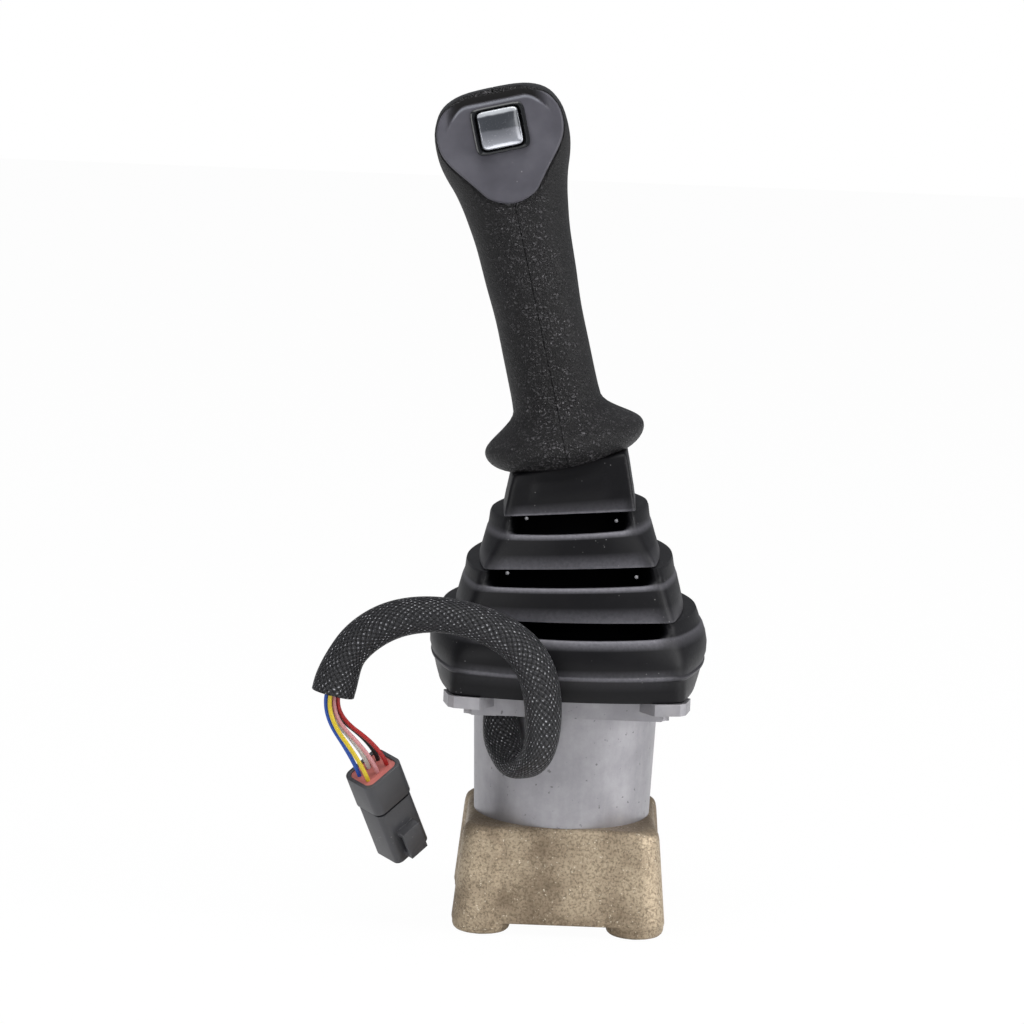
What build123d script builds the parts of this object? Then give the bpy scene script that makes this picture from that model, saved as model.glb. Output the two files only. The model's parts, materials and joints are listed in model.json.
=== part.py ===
from build123d import *

import os
from math import cos, pi, radians, sin, tan

# Pilot joystick valve. Units are millimetres. The origin is the mouth of the centre port P, +Z runs
# up the valve's axis and -Y is the front, the side that the grip's switch faces.

# ---- Cast-iron port casing -------------------------------------------------------------------
casing_height = 40.0          # port face to joint face
foot_drop = 5.0               # the corner feet stand this far below the port face
foot_radius = 12.1
foot_rounding = 3.0
foot_sink = 0.5               # the feet reach this far up into the casing
casing_half = 39.6            # mid-side half width at the shoulder
column_radius = 11.5          # rounded corner columns, at the shoulder
column_offset = 29.5
casing_flare = 1.085          # port face outline over shoulder outline
shoulder_height = 4.5
shoulder_draw_in = 0.93       # joint face outline over shoulder outline
port_thread_radius = 5.9      # G1/4 tapping drill
port_thread_depth = 12.0
tank_port_offset = 17.5       # port T, in +X and -Y
gallery_radius = 3.5
gallery_bore = 2.2
tank_ring_height = 18.0
pressure_height = 29.0

# ---- Aluminium upper housing -----------------------------------------------------------------
housing_radius_low = 36.9
housing_radius_high = 38.6
housing_height = 48.0         # joint face to the flange's underside
flange_half = 42.4
flange_thickness = 9.0
flange_corner = 4.0
ear_thickness = 5.0
ear_hole_offset = 42.5        # four mounting holes on a square
ear_hole_radius = 3.3
ear_overlap = 7.32            # the ear's root inside the flange's edge
ear_root = 12.5               # ear outline, from the hole's centre
ear_shoulder = 6.5
ear_reach = 8.5
ear_chamfer = (4.0, 6.4)
face_recess_depth = 0.6       # shallow recess in the front edge, over the cable outlet
face_recess_span = (-29.0, -20.5)

# ---- Pushers, springs and spools -------------------------------------------------------------
push_circle = 24.0            # radius of the circle the four pushers stand on
tilt_limit = 19.0             # degrees each way, about each axis
pivot_above_flange = 12.0
pusher_radius = 4.0
pusher_play = 0.35            # gap from the pusher tips to the cam disc at rest
running_gap = 0.05
seat_gap = 0.03
screw_head_gap = 0.2
screw_gap = 0.3
washer_gap = 0.2              # washer to the chamber wall
washer_room = 0.3             # washer to the spool
cross_end_gap = 0.2
boot_gap = 0.3                # boot to the grip's spigot
chamber_radius = 8.0
bush_radius = 8.5
bush_length = 18.0            # part of the bush inside the housing
bush_neck_radius = 7.5
bush_neck_height = 4.0
collar_radius = 6.8
collar_thickness = 3.0
collar_lift = 10.0            # room above the collar, more than the pusher's rise
seat_flange_radius = 7.5
seat_flange_thickness = 2.5
seat_hub_radius = 5.6
seat_hub_length = 4.5
stem_radius = 2.9
stem_bore = 3.2
pusher_bore_depth = 10.0
spool_radius = 3.5
spool_bottom = 17.0
spool_shoulder_radius = 5.2
spool_shoulder_thickness = 2.0
spool_shoulder_lift = 4.0     # shoulder's underside above the joint face
stem_overlap = 1.0            # stem's top above the spring seat's underside face of the pusher
washer_thickness = 1.2
return_wire = 0.7
return_turns = 6.0
balance_wire = 0.4
balance_radius = 4.6
balance_turns = 5.0
oring_section = 1.4
oring_radius = 10.2           # face seals round the spring chambers
screw_offset = 21.0           # four housing screws on a square
screw_radius = 3.0
screw_head_radius = 5.0
screw_head_height = 6.0
screw_counterbore = 7.0
screw_engagement = 16.0

# ---- Universal joint and cam disc ------------------------------------------------------------
retainer_radius = 35.0
retainer_thickness = 2.5
joint_base_radius = 10.0
joint_base_thickness = 1.7
joint_stud_radius = 5.95
joint_stud_length = 15.0
ear_inner = 6.5
ear_outer = 10.5
ear_half_width = 4.0
trunnion_radius = 2.5
cross_half = 6.2
cross_half_height = 3.5
yoke_plate_radius = 12.4
yoke_plate_thickness = 3.0
yoke_rise = 9.5               # pivot to the plate's underside
stud_radius = 7.0
stud_length = 28.5
disc_radius = 28.5
disc_pocket_radius = 14.5
disc_rim_thickness = 3.6
disc_hub_radius = 17.0
disc_web = 3.5
nut_across_flats = 24.0
adjusting_nut_height = 7.0
lock_nut_height = 6.0

# ---- Lever and grip --------------------------------------------------------------------------
tube_radius = 8.5
tube_wall = 1.47
bend_height = 80.7            # where the grip's axis leaves the valve's axis, over the flange
grip_lean = 13.75             # degrees, towards -X
bend_radius = 60.0
tube_top = 112.0              # distances along the grip's axis start at the bend
spigot_radius = 14.0
spigot_bottom = 6.0
rest_bottom = 12.5            # hand rest
rest_radius = 33.6
rest_underside_radius = 27.0
rest_upper_radius = 30.5
rest_edge_lift = 6.3          # heights over the rest's underside
rest_upper_lift = 12.5
rest_waist_radius = 22.3
rest_waist_drop = 8.2
rest_inner_radius = 15.5      # the rest runs on inside the shaft
rest_top = 37.0
grip_front_channel = 10.8     # the switch lead's channel, in front of the tube
lead_radius = 2.0
panel_angle = 10.0            # face panel leans back from the grip's axis
panel_foot = (-21.0, -31.5)   # where the panel meets the grip: depth, and height over the switch
panel_thickness = 2.6
switch_height = 154.0
switch_offset = 0.2
bezel_size = (22.4, 19.4)
bezel_proud = 1.2
switch_body_size = (19.4, 18.0)
switch_depth = 16.0
button_size = (17.2, 15.8)
button_thickness = 4.0
button_proud = 2.7
button_gap = 0.2
button_spring_radius = 3.0
button_spring_wire = 0.25
button_spring_length = 4.5
grip_screw_places = ((13.0, 48.0), (13.0, 95.0), (11.5, switch_height - 17.0))
grip_screw_radius = 1.4
grip_screw_head = 2.8
grip_screw_head_height = 2.5
grip_screw_reach = 10.0
grip_screw_access = 40.0      # counterbore, out through the grip's side
lead_below_switch = 2.3       # the switch lead's end to the switch body
lead_end_room = 0.3

# Grip sections: height, half width, front, back and corner radius. The shaft's heights start at the
# bend, the head's at the switch.
shaft_sections = (
    (16.0, 18.6, -18.9, 18.9, 17.856),
    (60.0, 18.1, -18.6, 18.6, 17.376),
)
head_sections = (
    (-60.0, 19.1, -19.5, 19.5, 18.145),
    (-46.0, 19.9, -20.2, 20.2, 18.507),
    (-36.0, 21.2, -21.2, 21.2, 19.08),
    (-26.0, 23.3, -22.2, 22.2, 20.271),
    (-18.0, 25.7, -22.8, 22.8, 21.074),
    (-12.0, 27.1, -23.1, 23.0, 21.138),
    (-6.0, 27.5, -23.1, 23.0, 20.625),
    (0.0, 27.4, -22.6, 22.7, 19.728),
    (5.0, 26.5, -21.4, 21.8, 19.08),
    (9.5, 24.2, -19.1, 19.9, 17.424),
    (12.0, 21.8, -16.6, 17.6, 14.824),
    (14.4, 18.3, -13.2, 14.2, 11.346),
    (16.2, 13.0, -8.5, 9.5, 7.15),
)

# ---- Rubber boot -----------------------------------------------------------------------------
boot_below_rest = 2.3         # the neck's top to the hand rest
# Sections: sideways shift, height, lean in degrees, half width at the corners and at mid side.
# The heights are stretched together to fill the room under the hand rest.
boot_skirt = (
    (0.0, 0.0, 0.0, 47.4, 53.6),
    (0.0, 10.5, 0.0, 47.6, 56.8),
    (0.0, 17.5, 0.0, 46.8, 58.2),
    (0.0, 26.0, 0.0, 43.5, 55.5),
    (-0.2, 31.7, 1.0, 41.5, 53.0),
)
boot_middle = (
    (-0.2, 31.7, 1.0, 42.3, 47.5),
    (-0.6, 45.5, 2.5, 38.4, 44.5),
    (-0.8, 51.5, 2.5, 36.8, 43.0),
)
boot_upper = (
    (-0.8, 51.5, 2.5, 34.5, 37.8),
    (-1.9, 66.0, 4.2, 27.8, 34.3),
    (-1.8, 72.3, 4.3, 27.2, 33.0),
)
boot_neck = (
    (-1.8, 72.3, 4.3, 27.0, 27.6),
    (-2.5, 90.9, 13.75, 24.0, 24.3),
)
boot_hollow = (
    (0.0, -1.0, 0.0, 44.4, 50.6),
    (0.0, 17.5, 0.0, 43.8, 55.0),
    (-0.2, 28.5, 1.0, 39.0, 44.0),
    (-0.8, 48.5, 2.5, 31.2, 34.4),
    (-1.8, 70.0, 4.3, 23.8, 24.4),
    (-1.8, 87.9, 13.75, 21.0, 21.3),
)

# ---- Cable and connector ---------------------------------------------------------------------
cable_hole = (-27.5, -35.5)
cable_hole_size = (18.5, 11.0)
grommet_grip_gap = 0.02       # grommet's bore to the sleeve
sleeve_radius = 4.8
sleeve_route = (
    (-27.5, -35.5, 95.5),
    (-27.5, -35.5, 80.0),
    (-21.9, -44.4, 68.0),
    (-15.7, -54.1, 68.0),
    (-10.0, -64.0, 79.0),
    (-9.3, -66.0, 97.0),
    (-13.0, -66.5, 113.5),
    (-22.0, -66.5, 124.5),
    (-37.0, -65.0, 131.5),
    (-55.0, -62.0, 134.0),
    (-72.5, -58.5, 130.5),
    (-86.0, -55.0, 121.0),
    (-93.5, -52.5, 109.0),
    (-96.0, -51.5, 97.0),
)
wire_radius = 0.9
wire_bundle_share = 0.42      # wire spacing in the sleeve over the contacts' spacing
wire_straight = 9.0           # straight run at each end of a wire
connector_centre = (-78.8, -48.0, 64.9)
connector_right = (0.662, 0.502, 0.530)
connector_up = (-0.285, -0.493, 0.822)
rear_size = (20.0, 17.0, 16.0)
rear_corner = 4.0
seal_size = (16.5, 13.5, 5.4)
seal_sink = 0.6
joint_ring_thickness = 1.5
joint_ring_inset = 1.6
front_size = (18.5, 15.5, 27.5)
front_corner = 3.0
contact_pitch = 5.4
contact_radius = 1.25
contact_bore = 0.8
contact_length = 20.0
contact_clearance = 0.05
latch_size = (9.0, 2.0, 14.0)
latch_standoff = 2.4
latch_foot = 2.6
latch_end = 2.0               # latch's tip to the connector's front face

# ---- Heights worked out from the sizes above --------------------------------------------------
flange_bottom = casing_height + housing_height
flange_top = flange_bottom + flange_thickness
bush_bottom = flange_top - bush_length
pivot_height = flange_top + pivot_above_flange
collar_top = bush_bottom - collar_lift
collar_bottom = collar_top - collar_thickness
seat_underside = collar_bottom - seat_flange_thickness
hub_bottom = seat_underside - seat_hub_length
washer_top = casing_height + washer_thickness
shoulder_bottom = casing_height + spool_shoulder_lift
shoulder_top = shoulder_bottom + spool_shoulder_thickness
stem_top = seat_underside + stem_overlap
retainer_top = flange_top + retainer_thickness
yoke_plate_bottom = pivot_height + yoke_rise
yoke_plate_top = yoke_plate_bottom + yoke_plate_thickness
disc_underside = pivot_height + pusher_radius + pusher_play
disc_top = yoke_plate_top + disc_web
adjusting_nut_top = disc_top + adjusting_nut_height
lock_nut_top = adjusting_nut_top + lock_nut_height
bend_level = flange_top + bend_height
lead_top = switch_height - switch_body_size[1] / 2 - lead_below_switch
boot_stretch = (bend_height + rest_bottom - boot_below_rest) / boot_neck[-1][1]

grip_plane = Plane(
    origin=(0, 0, bend_level),
    x_dir=(cos(radians(grip_lean)), 0, sin(radians(grip_lean))),
    z_dir=(-sin(radians(grip_lean)), 0, cos(radians(grip_lean))),
)
panel_plane = Plane(
    origin=(
        switch_offset,
        panel_foot[0] - panel_foot[1] * tan(radians(panel_angle)),
        switch_height,
    ),
    x_dir=(1, 0, 0),
    z_dir=(0, -cos(radians(panel_angle)), sin(radians(panel_angle))),
)
connector_plane = Plane(origin=connector_centre, x_dir=connector_right, z_dir=connector_up)

# The four control directions, and each one's place on the circle of pushers.
directions = {"front": (0, -1), "right": (1, 0), "back": (0, 1), "left": (-1, 0)}
standing = (Align.CENTER, Align.CENTER, Align.MIN)


def rod(radius, low, high, x=0.0, y=0.0):
    """A vertical round bar from one height to another."""
    return Pos(x, y, low) * Cylinder(radius, high - low, align=standing)


def tube(outer, inner, low, high, x=0.0, y=0.0):
    """A vertical round sleeve."""
    return rod(outer, low, high, x, y) - rod(inner, low, high, x, y)


def slab(width, depth, low, high, x=0.0, y=0.0):
    """A block centred on a point, from one height to another."""
    return Pos(x, y, low) * Box(width, depth, high - low, align=standing)


def rounded_slab(width, depth, corner, low, high, x=0.0, y=0.0):
    """A block with rounded upright edges."""
    outline = RectangleRounded(width, depth, corner)
    return Pos(x, y, low) * extrude(outline, high - low)


def compass(maker):
    """One copy of a part at each of the four pusher places."""
    return [maker(push_circle * x, push_circle * y) for x, y in directions.values()]


def corners(offset):
    """The four corner points of a square of the given half width."""
    return [(sx * offset, sy * offset) for sx in (-1, 1) for sy in (-1, 1)]


def coil(radius, wire, low, high, turns):
    """A compression spring on the Z axis with its wire's surface between two heights."""
    travel = high - low - 2 * wire
    path = Pos(0, 0, low + wire) * Helix(travel / turns, travel, radius)
    section = Plane(origin=path @ 0, z_dir=path % 0) * Circle(wire)
    return sweep(section, path=path, is_frenet=True)


def cord_radii(points):
    """The largest bend radius that each corner's two runs allow."""
    radii = []
    for before, corner, after in zip(points, points[1:], points[2:]):
        first = Vector(*corner) - Vector(*before)
        second = Vector(*after) - Vector(*corner)
        half_turn = radians(first.get_angle(second)) / 2
        radii.append(0.45 * min(first.length, second.length) / tan(half_turn))
    return radii


def cord(points, radius):
    """A round cord along straight runs joined by tangent arcs."""
    radii = cord_radii(points)
    path = FilletPolyline(*points, radius=radii)
    section = Plane(origin=path @ 0, z_dir=path % 0) * Circle(radius)
    solid = sweep(section, path=path)
    print("cord radii", [round(r, 1) for r in radii], "length", round(path.length, 1))
    print("  volume over section times length", round(solid.volume / (pi * radius**2 * path.length), 4))
    return solid


# ---- Casing ----------------------------------------------------------------------------------


def casing_outline(share, height):
    """The square casing's outline with its rounded corner columns, drawn at one scale."""
    outline = RectangleRounded(2 * casing_half, 2 * casing_half, column_radius)
    for x, y in corners(column_offset):
        outline += Pos(x, y) * Circle(column_radius)
    return Pos(0, 0, height) * scale(outline, by=share)


def port_casing():
    shoulder = casing_height - shoulder_height
    crown = (1 + 3 * shoulder_draw_in) / 4
    mid_crown = (3 + shoulder_draw_in) / 4
    body = loft([casing_outline(casing_flare, 0), casing_outline(1, shoulder)], ruled=True)
    levels = (
        (1, shoulder),
        (mid_crown, shoulder + shoulder_height * 0.6),
        (crown, shoulder + shoulder_height * 0.9),
        (shoulder_draw_in, casing_height),
    )
    body += loft([casing_outline(share, height) for share, height in levels], ruled=True)
    for x, y in corners(column_offset * casing_flare):
        foot = rod(foot_radius, -foot_drop, foot_sink, x, y)
        body += fillet(foot.edges().sort_by(Axis.Z)[0], foot_rounding)
    return body - casing_ports() - casing_joint_cuts()


def casing_ports():
    """The ports, galleries and spool bores inside the casing."""
    tank = (tank_port_offset, -tank_port_offset)
    voids = Pos(0, 0, pressure_height) * (Rot(0, 90, 0) * Cylinder(gallery_bore, 2 * push_circle))
    voids += Pos(0, 0, pressure_height) * (Rot(90, 0, 0) * Cylinder(gallery_bore, 2 * push_circle))
    voids += rod(gallery_radius, port_thread_depth / 2, pressure_height + 2 * gallery_bore)
    voids += rod(port_thread_radius, 0, port_thread_depth)
    voids += tube(
        push_circle + gallery_bore,
        push_circle - gallery_bore,
        tank_ring_height - gallery_bore,
        tank_ring_height + gallery_bore,
    )
    voids += rod(gallery_radius, port_thread_depth / 2, tank_ring_height, *tank)
    voids += rod(port_thread_radius, 0, port_thread_depth, *tank)
    for x, y in directions.values():
        px, py = push_circle * x, push_circle * y
        voids += rod(spool_radius + running_gap, port_thread_depth / 2, casing_height, px, py)
        voids += rod(port_thread_radius, 0, port_thread_depth, px, py)
    return voids


def casing_joint_cuts():
    """Seal grooves and screw holes in the casing's joint face."""
    grooves = compass(
        lambda x, y: tube(
            oring_radius + oring_section / 2,
            oring_radius - oring_section / 2,
            casing_height - oring_section,
            casing_height,
            x,
            y,
        )
    )
    holes = [
        rod(screw_radius + seat_gap, casing_height - screw_engagement, casing_height, x, y)
        for x, y in corners(screw_offset)
    ]
    return grooves + holes


def face_seals():
    """O-rings between the casing and the housing, one round each spring chamber."""
    outer = oring_radius + oring_section / 2 - seat_gap
    inner = oring_radius - oring_section / 2 + seat_gap
    low = casing_height - oring_section
    return Compound(children=compass(lambda x, y: tube(outer, inner, low, casing_height, x, y)))


# ---- Housing ---------------------------------------------------------------------------------


def ear():
    """One corner ear of the flange, in the +X +Y corner."""
    inside = flange_half - ear_overlap
    root = ear_hole_offset - ear_root
    shoulder = ear_hole_offset - ear_shoulder
    reach = ear_hole_offset + ear_reach
    chamfer_near = ear_hole_offset + ear_chamfer[0]
    chamfer_far = ear_hole_offset + ear_chamfer[1]
    outline = Polygon(
        (root, inside),
        (root, flange_half),
        (shoulder, reach),
        (chamfer_near, chamfer_far),
        (chamfer_far, chamfer_near),
        (reach, shoulder),
        (flange_half, root),
        (inside, root),
        align=None,
    )
    solid = extrude(outline, ear_thickness, dir=(0, 0, 1))
    return Pos(0, 0, flange_top - ear_thickness) * solid


def upper_housing():
    body = Pos(0, 0, casing_height) * Cone(
        housing_radius_low, housing_radius_high, housing_height, align=standing
    )
    body += rounded_slab(2 * flange_half, 2 * flange_half, flange_corner, flange_bottom, flange_top)
    corner_ear = ear()
    body += corner_ear
    body += corner_ear.mirror(Plane.YZ)
    body += corner_ear.mirror(Plane.XZ)
    body += corner_ear.mirror(Plane.XZ).mirror(Plane.YZ)
    for x, y in directions.values():
        body -= rod(chamber_radius, casing_height, flange_top, push_circle * x, push_circle * y)
        body -= rod(bush_radius, bush_bottom, flange_top, push_circle * x, push_circle * y)
    body -= rod(joint_stud_radius + seat_gap, flange_top - joint_stud_length, flange_top)
    for x, y in corners(screw_offset):
        body -= rod(screw_radius + screw_gap, casing_height, flange_top, x, y)
        body -= rod(screw_head_radius + screw_gap, flange_top - screw_counterbore, flange_top, x, y)
    for x, y in corners(ear_hole_offset):
        body -= rod(ear_hole_radius, flange_bottom, flange_top, x, y)
    slot = extrude(SlotOverall(*cable_hole_size), flange_thickness)
    body -= Pos(*cable_hole, flange_bottom) * slot
    recess_left, recess_right = face_recess_span
    body -= slab(
        recess_right - recess_left,
        2 * face_recess_depth,
        flange_bottom,
        flange_top,
        (recess_left + recess_right) / 2,
        -flange_half,
    )
    return body


def housing_screws():
    """Four socket head screws that clamp the housing to the casing."""
    head_low = flange_top - screw_counterbore
    socket = RegularPolygon(3.0, 6)
    screws = []
    for x, y in corners(screw_offset):
        screw = rod(screw_radius, casing_height - screw_engagement + 1, head_low, x, y)
        screw += rod(screw_head_radius, head_low, head_low + screw_head_height, x, y)
        screw -= Pos(x, y, head_low + screw_head_height / 2) * extrude(socket, screw_head_height)
        screws.append(screw)
    return Compound(children=screws)


def cable_grommet():
    """Rubber lining of the flange's cable hole."""
    width, depth = cable_hole_size
    outer = SlotOverall(width - 2 * seat_gap, depth - 2 * seat_gap)
    inner = Circle(sleeve_radius + grommet_grip_gap)
    ring = extrude(outer - inner, flange_thickness)
    return Pos(*cable_hole, flange_bottom) * ring


def retainer_plate():
    """Steel plate that holds the four pusher bushes down."""
    plate = rod(retainer_radius, flange_top, retainer_top)
    for x, y in directions.values():
        neck = bush_neck_radius + running_gap
        plate -= rod(neck, flange_top, retainer_top, push_circle * x, push_circle * y)
    plate -= rod(joint_stud_radius + running_gap, flange_top, retainer_top)
    return plate


# ---- Pushers and spools ----------------------------------------------------------------------
seal_height = 2.4
seal_radius = 5.9
bush_top = flange_top + bush_neck_height
groove_low = bush_bottom + 6.0


def bush(x, y):
    body = rod(bush_radius - seat_gap, bush_bottom, flange_top, x, y)
    body += rod(bush_neck_radius, flange_top, bush_top, x, y)
    body -= rod(pusher_radius + running_gap, bush_bottom, bush_top, x, y)
    body -= rod(seal_radius, bush_top - seal_height, bush_top, x, y)
    groove = tube(bush_radius, bush_radius - oring_section, groove_low, groove_low + oring_section, x, y)
    return body - groove


def bush_seal(x, y):
    low = groove_low + seat_gap
    high = groove_low + oring_section - seat_gap
    return tube(bush_radius - seat_gap, bush_radius - oring_section + seat_gap, low, high, x, y)


def pusher_seal(x, y):
    outer = seal_radius - seat_gap
    return tube(outer, pusher_radius + running_gap, bush_top - seal_height, bush_top, x, y)


def washer(x, y):
    """Hardened washer under the return spring."""
    return tube(chamber_radius - washer_gap, spool_radius + washer_room, casing_height, washer_top, x, y)


def pusher(x, y):
    body = rod(pusher_radius, collar_bottom, pivot_height, x, y)
    body += Pos(x, y, pivot_height) * Sphere(pusher_radius)
    body += rod(collar_radius, collar_bottom, collar_top, x, y)
    return body - rod(stem_bore, collar_bottom, collar_bottom + pusher_bore_depth, x, y)


def spring_seat(x, y):
    body = rod(seat_flange_radius, seat_underside, collar_bottom, x, y)
    body += rod(seat_hub_radius, hub_bottom, seat_underside, x, y)
    return body - rod(stem_bore, hub_bottom, collar_bottom, x, y)


def spool(x, y):
    body = rod(spool_radius, spool_bottom, shoulder_bottom, x, y)
    body += rod(spool_shoulder_radius, shoulder_bottom, shoulder_top, x, y)
    body += rod(stem_radius, shoulder_top, stem_top, x, y)
    land_gap = tube(spool_radius, spool_radius - 1.0, pressure_height - 3, pressure_height + 3, x, y)
    return body - land_gap - rod(1.5, spool_bottom, pressure_height, x, y)


def return_spring(x, y):
    radius = seat_flange_radius - return_wire
    return Pos(x, y) * coil(radius, return_wire, washer_top, seat_underside, return_turns)


def balance_spring(x, y):
    return Pos(x, y) * coil(balance_radius, balance_wire, shoulder_top, hub_bottom, balance_turns)


# ---- Universal joint -------------------------------------------------------------------------


def fork_ear(side, root):
    """One ear across the X axis, round about the pivot and reaching the root height."""
    middle = side * (ear_inner + ear_outer) / 2
    thickness = ear_outer - ear_inner
    knuckle = Pos(middle, 0, 0) * (Rot(0, 90, 0) * Cylinder(ear_half_width, thickness))
    low, high = min(root, 0), max(root, 0)
    web = slab(thickness, 2 * ear_half_width, low, high, middle)
    hole = Rot(0, 90, 0) * Cylinder(trunnion_radius + running_gap, 4 * ear_outer)
    return knuckle + web - hole


def joint_base():
    body = rod(joint_stud_radius, flange_top - joint_stud_length, retainer_top)
    base_top = retainer_top + joint_base_thickness
    body += rod(joint_base_radius, retainer_top, base_top)
    for side in (-1, 1):
        body += Pos(0, 0, pivot_height) * fork_ear(side, base_top - pivot_height)
    return body


def joint_cross():
    block = Box(2 * cross_half, 2 * cross_half, 2 * cross_half_height)
    reach = 2 * (ear_outer - cross_end_gap)
    block += Rot(0, 90, 0) * Cylinder(trunnion_radius, reach)
    block += Rot(90, 0, 0) * Cylinder(trunnion_radius, reach)
    return Pos(0, 0, pivot_height) * block


def joint_top():
    body = rod(yoke_plate_radius, yoke_plate_bottom, yoke_plate_top)
    for side in (-1, 1):
        body += Pos(0, 0, pivot_height) * (Rot(0, 0, 90) * fork_ear(side, yoke_rise))
    return body + rod(stud_radius, yoke_plate_top, yoke_plate_top + stud_length)


def cam_disc():
    rim_top = disc_underside + disc_rim_thickness
    body = rod(disc_radius, disc_underside, rim_top)
    body += Pos(0, 0, rim_top) * Cone(disc_radius, disc_hub_radius, disc_top - rim_top, align=standing)
    body -= rod(disc_pocket_radius, disc_underside, yoke_plate_top)
    return body - rod(stud_radius + seat_gap, yoke_plate_top, disc_top)


def hex_nut(low, high):
    outline = RegularPolygon(nut_across_flats / 2, 6, major_radius=False)
    body = Pos(0, 0, low) * extrude(outline, high - low)
    return body - rod(stud_radius + seat_gap, low, high)


def lever_tube():
    foot = (0, 0, lock_nut_top)
    top = grip_plane.from_local_coords((0, 0, tube_top))
    path = FilletPolyline(foot, (0, 0, bend_level), top, radius=bend_radius)
    outer = sweep(Pos(0, 0, lock_nut_top) * Circle(tube_radius), path=path)
    inner = sweep(Pos(0, 0, lock_nut_top) * Circle(tube_radius - tube_wall), path=path)
    return outer - inner


# ---- Grip ------------------------------------------------------------------------------------
def grip_outline(height, half_width, front, back, corner):
    """A rounded outline across the grip's axis."""
    outline = RectangleRounded(2 * half_width, back - front, corner)
    return Pos(0, (front + back) / 2, height) * outline


def grip_shape():
    """The grip's shaft and head as one plain shape."""
    shaft = [grip_outline(*section) for section in shaft_sections]
    head = [Pos(0, 0, switch_height) * grip_outline(*section) for section in head_sections]
    return loft(shaft + head, ruled=True)


def hand_rest():
    """The flared rest under the hand, turned about the grip's axis."""
    underside_edge = (rest_underside_radius, rest_bottom)
    upper_edge = (rest_upper_radius, rest_bottom + rest_upper_lift)
    shaft_end = (rest_inner_radius, rest_top)
    profile = [
        Line((0, rest_bottom), underside_edge),
        ThreePointArc(underside_edge, (rest_radius, rest_bottom + rest_edge_lift), upper_edge),
        ThreePointArc(upper_edge, (rest_waist_radius, rest_top - rest_waist_drop), shaft_end),
        Line(shaft_end, (0, rest_top)),
        Line((0, rest_top), (0, rest_bottom)),
    ]
    return revolve(Plane.XZ * make_face(profile), Axis.Z)


def panel_zone(depth):
    """Everything in front of a plane lying the given depth behind the face panel's surface."""
    size = 120.0
    zone = Pos(0, 0, -depth) * Box(size, size, size, align=standing)
    foot_height = switch_height + panel_foot[1]
    above_foot = slab(size, size, foot_height, foot_height + size)
    return (panel_plane.location * zone) & above_foot


def grip_solid():
    return grip_shape() + hand_rest() + rod(spigot_radius, spigot_bottom, rest_bottom)


def switch_cavity():
    width, height = switch_body_size
    room = 2.0
    cavity = Pos(0, 0, -panel_thickness) * Box(
        width + room, height + room, switch_depth, align=(Align.CENTER, Align.CENTER, Align.MAX)
    )
    return panel_plane.location * cavity


def grip_screw(y, height, radius, head, reach):
    """A screw across the grip, its head to the right."""
    shank = Cylinder(radius, 2 * grip_screw_reach - 1)
    cap = Pos(0, 0, grip_screw_reach) * Cylinder(head, reach, align=standing)
    across = Rot(0, 90, 0) * (Pos(0, 0, 0.5) * shank + cap)
    return Pos(0, y, height) * across


def grip_halves():
    body = grip_solid() - panel_zone(panel_thickness)
    body -= rod(tube_radius + seat_gap, spigot_bottom, tube_top)
    channel_top = lead_top + lead_end_room
    body -= rod(lead_radius + seat_gap, spigot_bottom, channel_top, 0, -grip_front_channel)
    body -= switch_cavity()
    for y, height in grip_screw_places:
        bore = grip_screw_radius + seat_gap
        body -= grip_screw(y, height, bore, grip_screw_head + screw_head_gap, grip_screw_access)
    size = 400.0
    right_side = Pos(size / 2, 0, 0) * Box(size, size, size)
    return grip_plane.location * (body - right_side), grip_plane.location * (body & right_side)


def grip_screws():
    screws = []
    for y, height in grip_screw_places:
        screw = grip_screw(y, height, grip_screw_radius, grip_screw_head, grip_screw_head_height)
        screws.append(grip_plane.location * screw)
    return Compound(children=screws)


def switch_lead():
    """The switch's cable, from the foot of the grip to the switch."""
    lead = rod(lead_radius, spigot_bottom, lead_top, 0, -grip_front_channel)
    return grip_plane.location * lead


def face_panel():
    body = grip_shape() & (panel_zone(panel_thickness - seat_gap) - panel_zone(0))
    width, height = switch_body_size
    window = panel_plane.location * Box(width + 0.1, height + 0.1, 4 * panel_thickness)
    return grip_plane.location * (body - window)


def on_panel(shape):
    return grip_plane.location * (panel_plane.location * shape)


pocket_size = (button_size[0] + 2 * button_gap, button_size[1] + 2 * button_gap)
button_bottom = button_proud - button_thickness
pocket_floor = button_bottom - button_spring_length


def switch_body():
    hanging = (Align.CENTER, Align.CENTER, Align.MAX)
    body = Box(*switch_body_size, switch_depth, align=hanging)
    body += Box(*bezel_size, bezel_proud, align=standing)
    pocket = Pos(0, 0, pocket_floor) * Box(*pocket_size, switch_depth, align=standing)
    return on_panel(body - pocket)


def switch_button():
    """Square push button with a dished face."""
    width, height = button_size
    body = Pos(0, 0, button_bottom) * Box(width, height, button_thickness, align=standing)
    dish_radius = 60.0
    dish_depth = 0.8
    dish = Pos(0, 0, button_proud + dish_radius - dish_depth) * Sphere(dish_radius)
    return on_panel(body - dish)


def button_spring():
    spring = coil(button_spring_radius, button_spring_wire, pocket_floor, button_bottom, 4.0)
    return on_panel(spring)


# ---- Boot ------------------------------------------------------------------------------------


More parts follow.
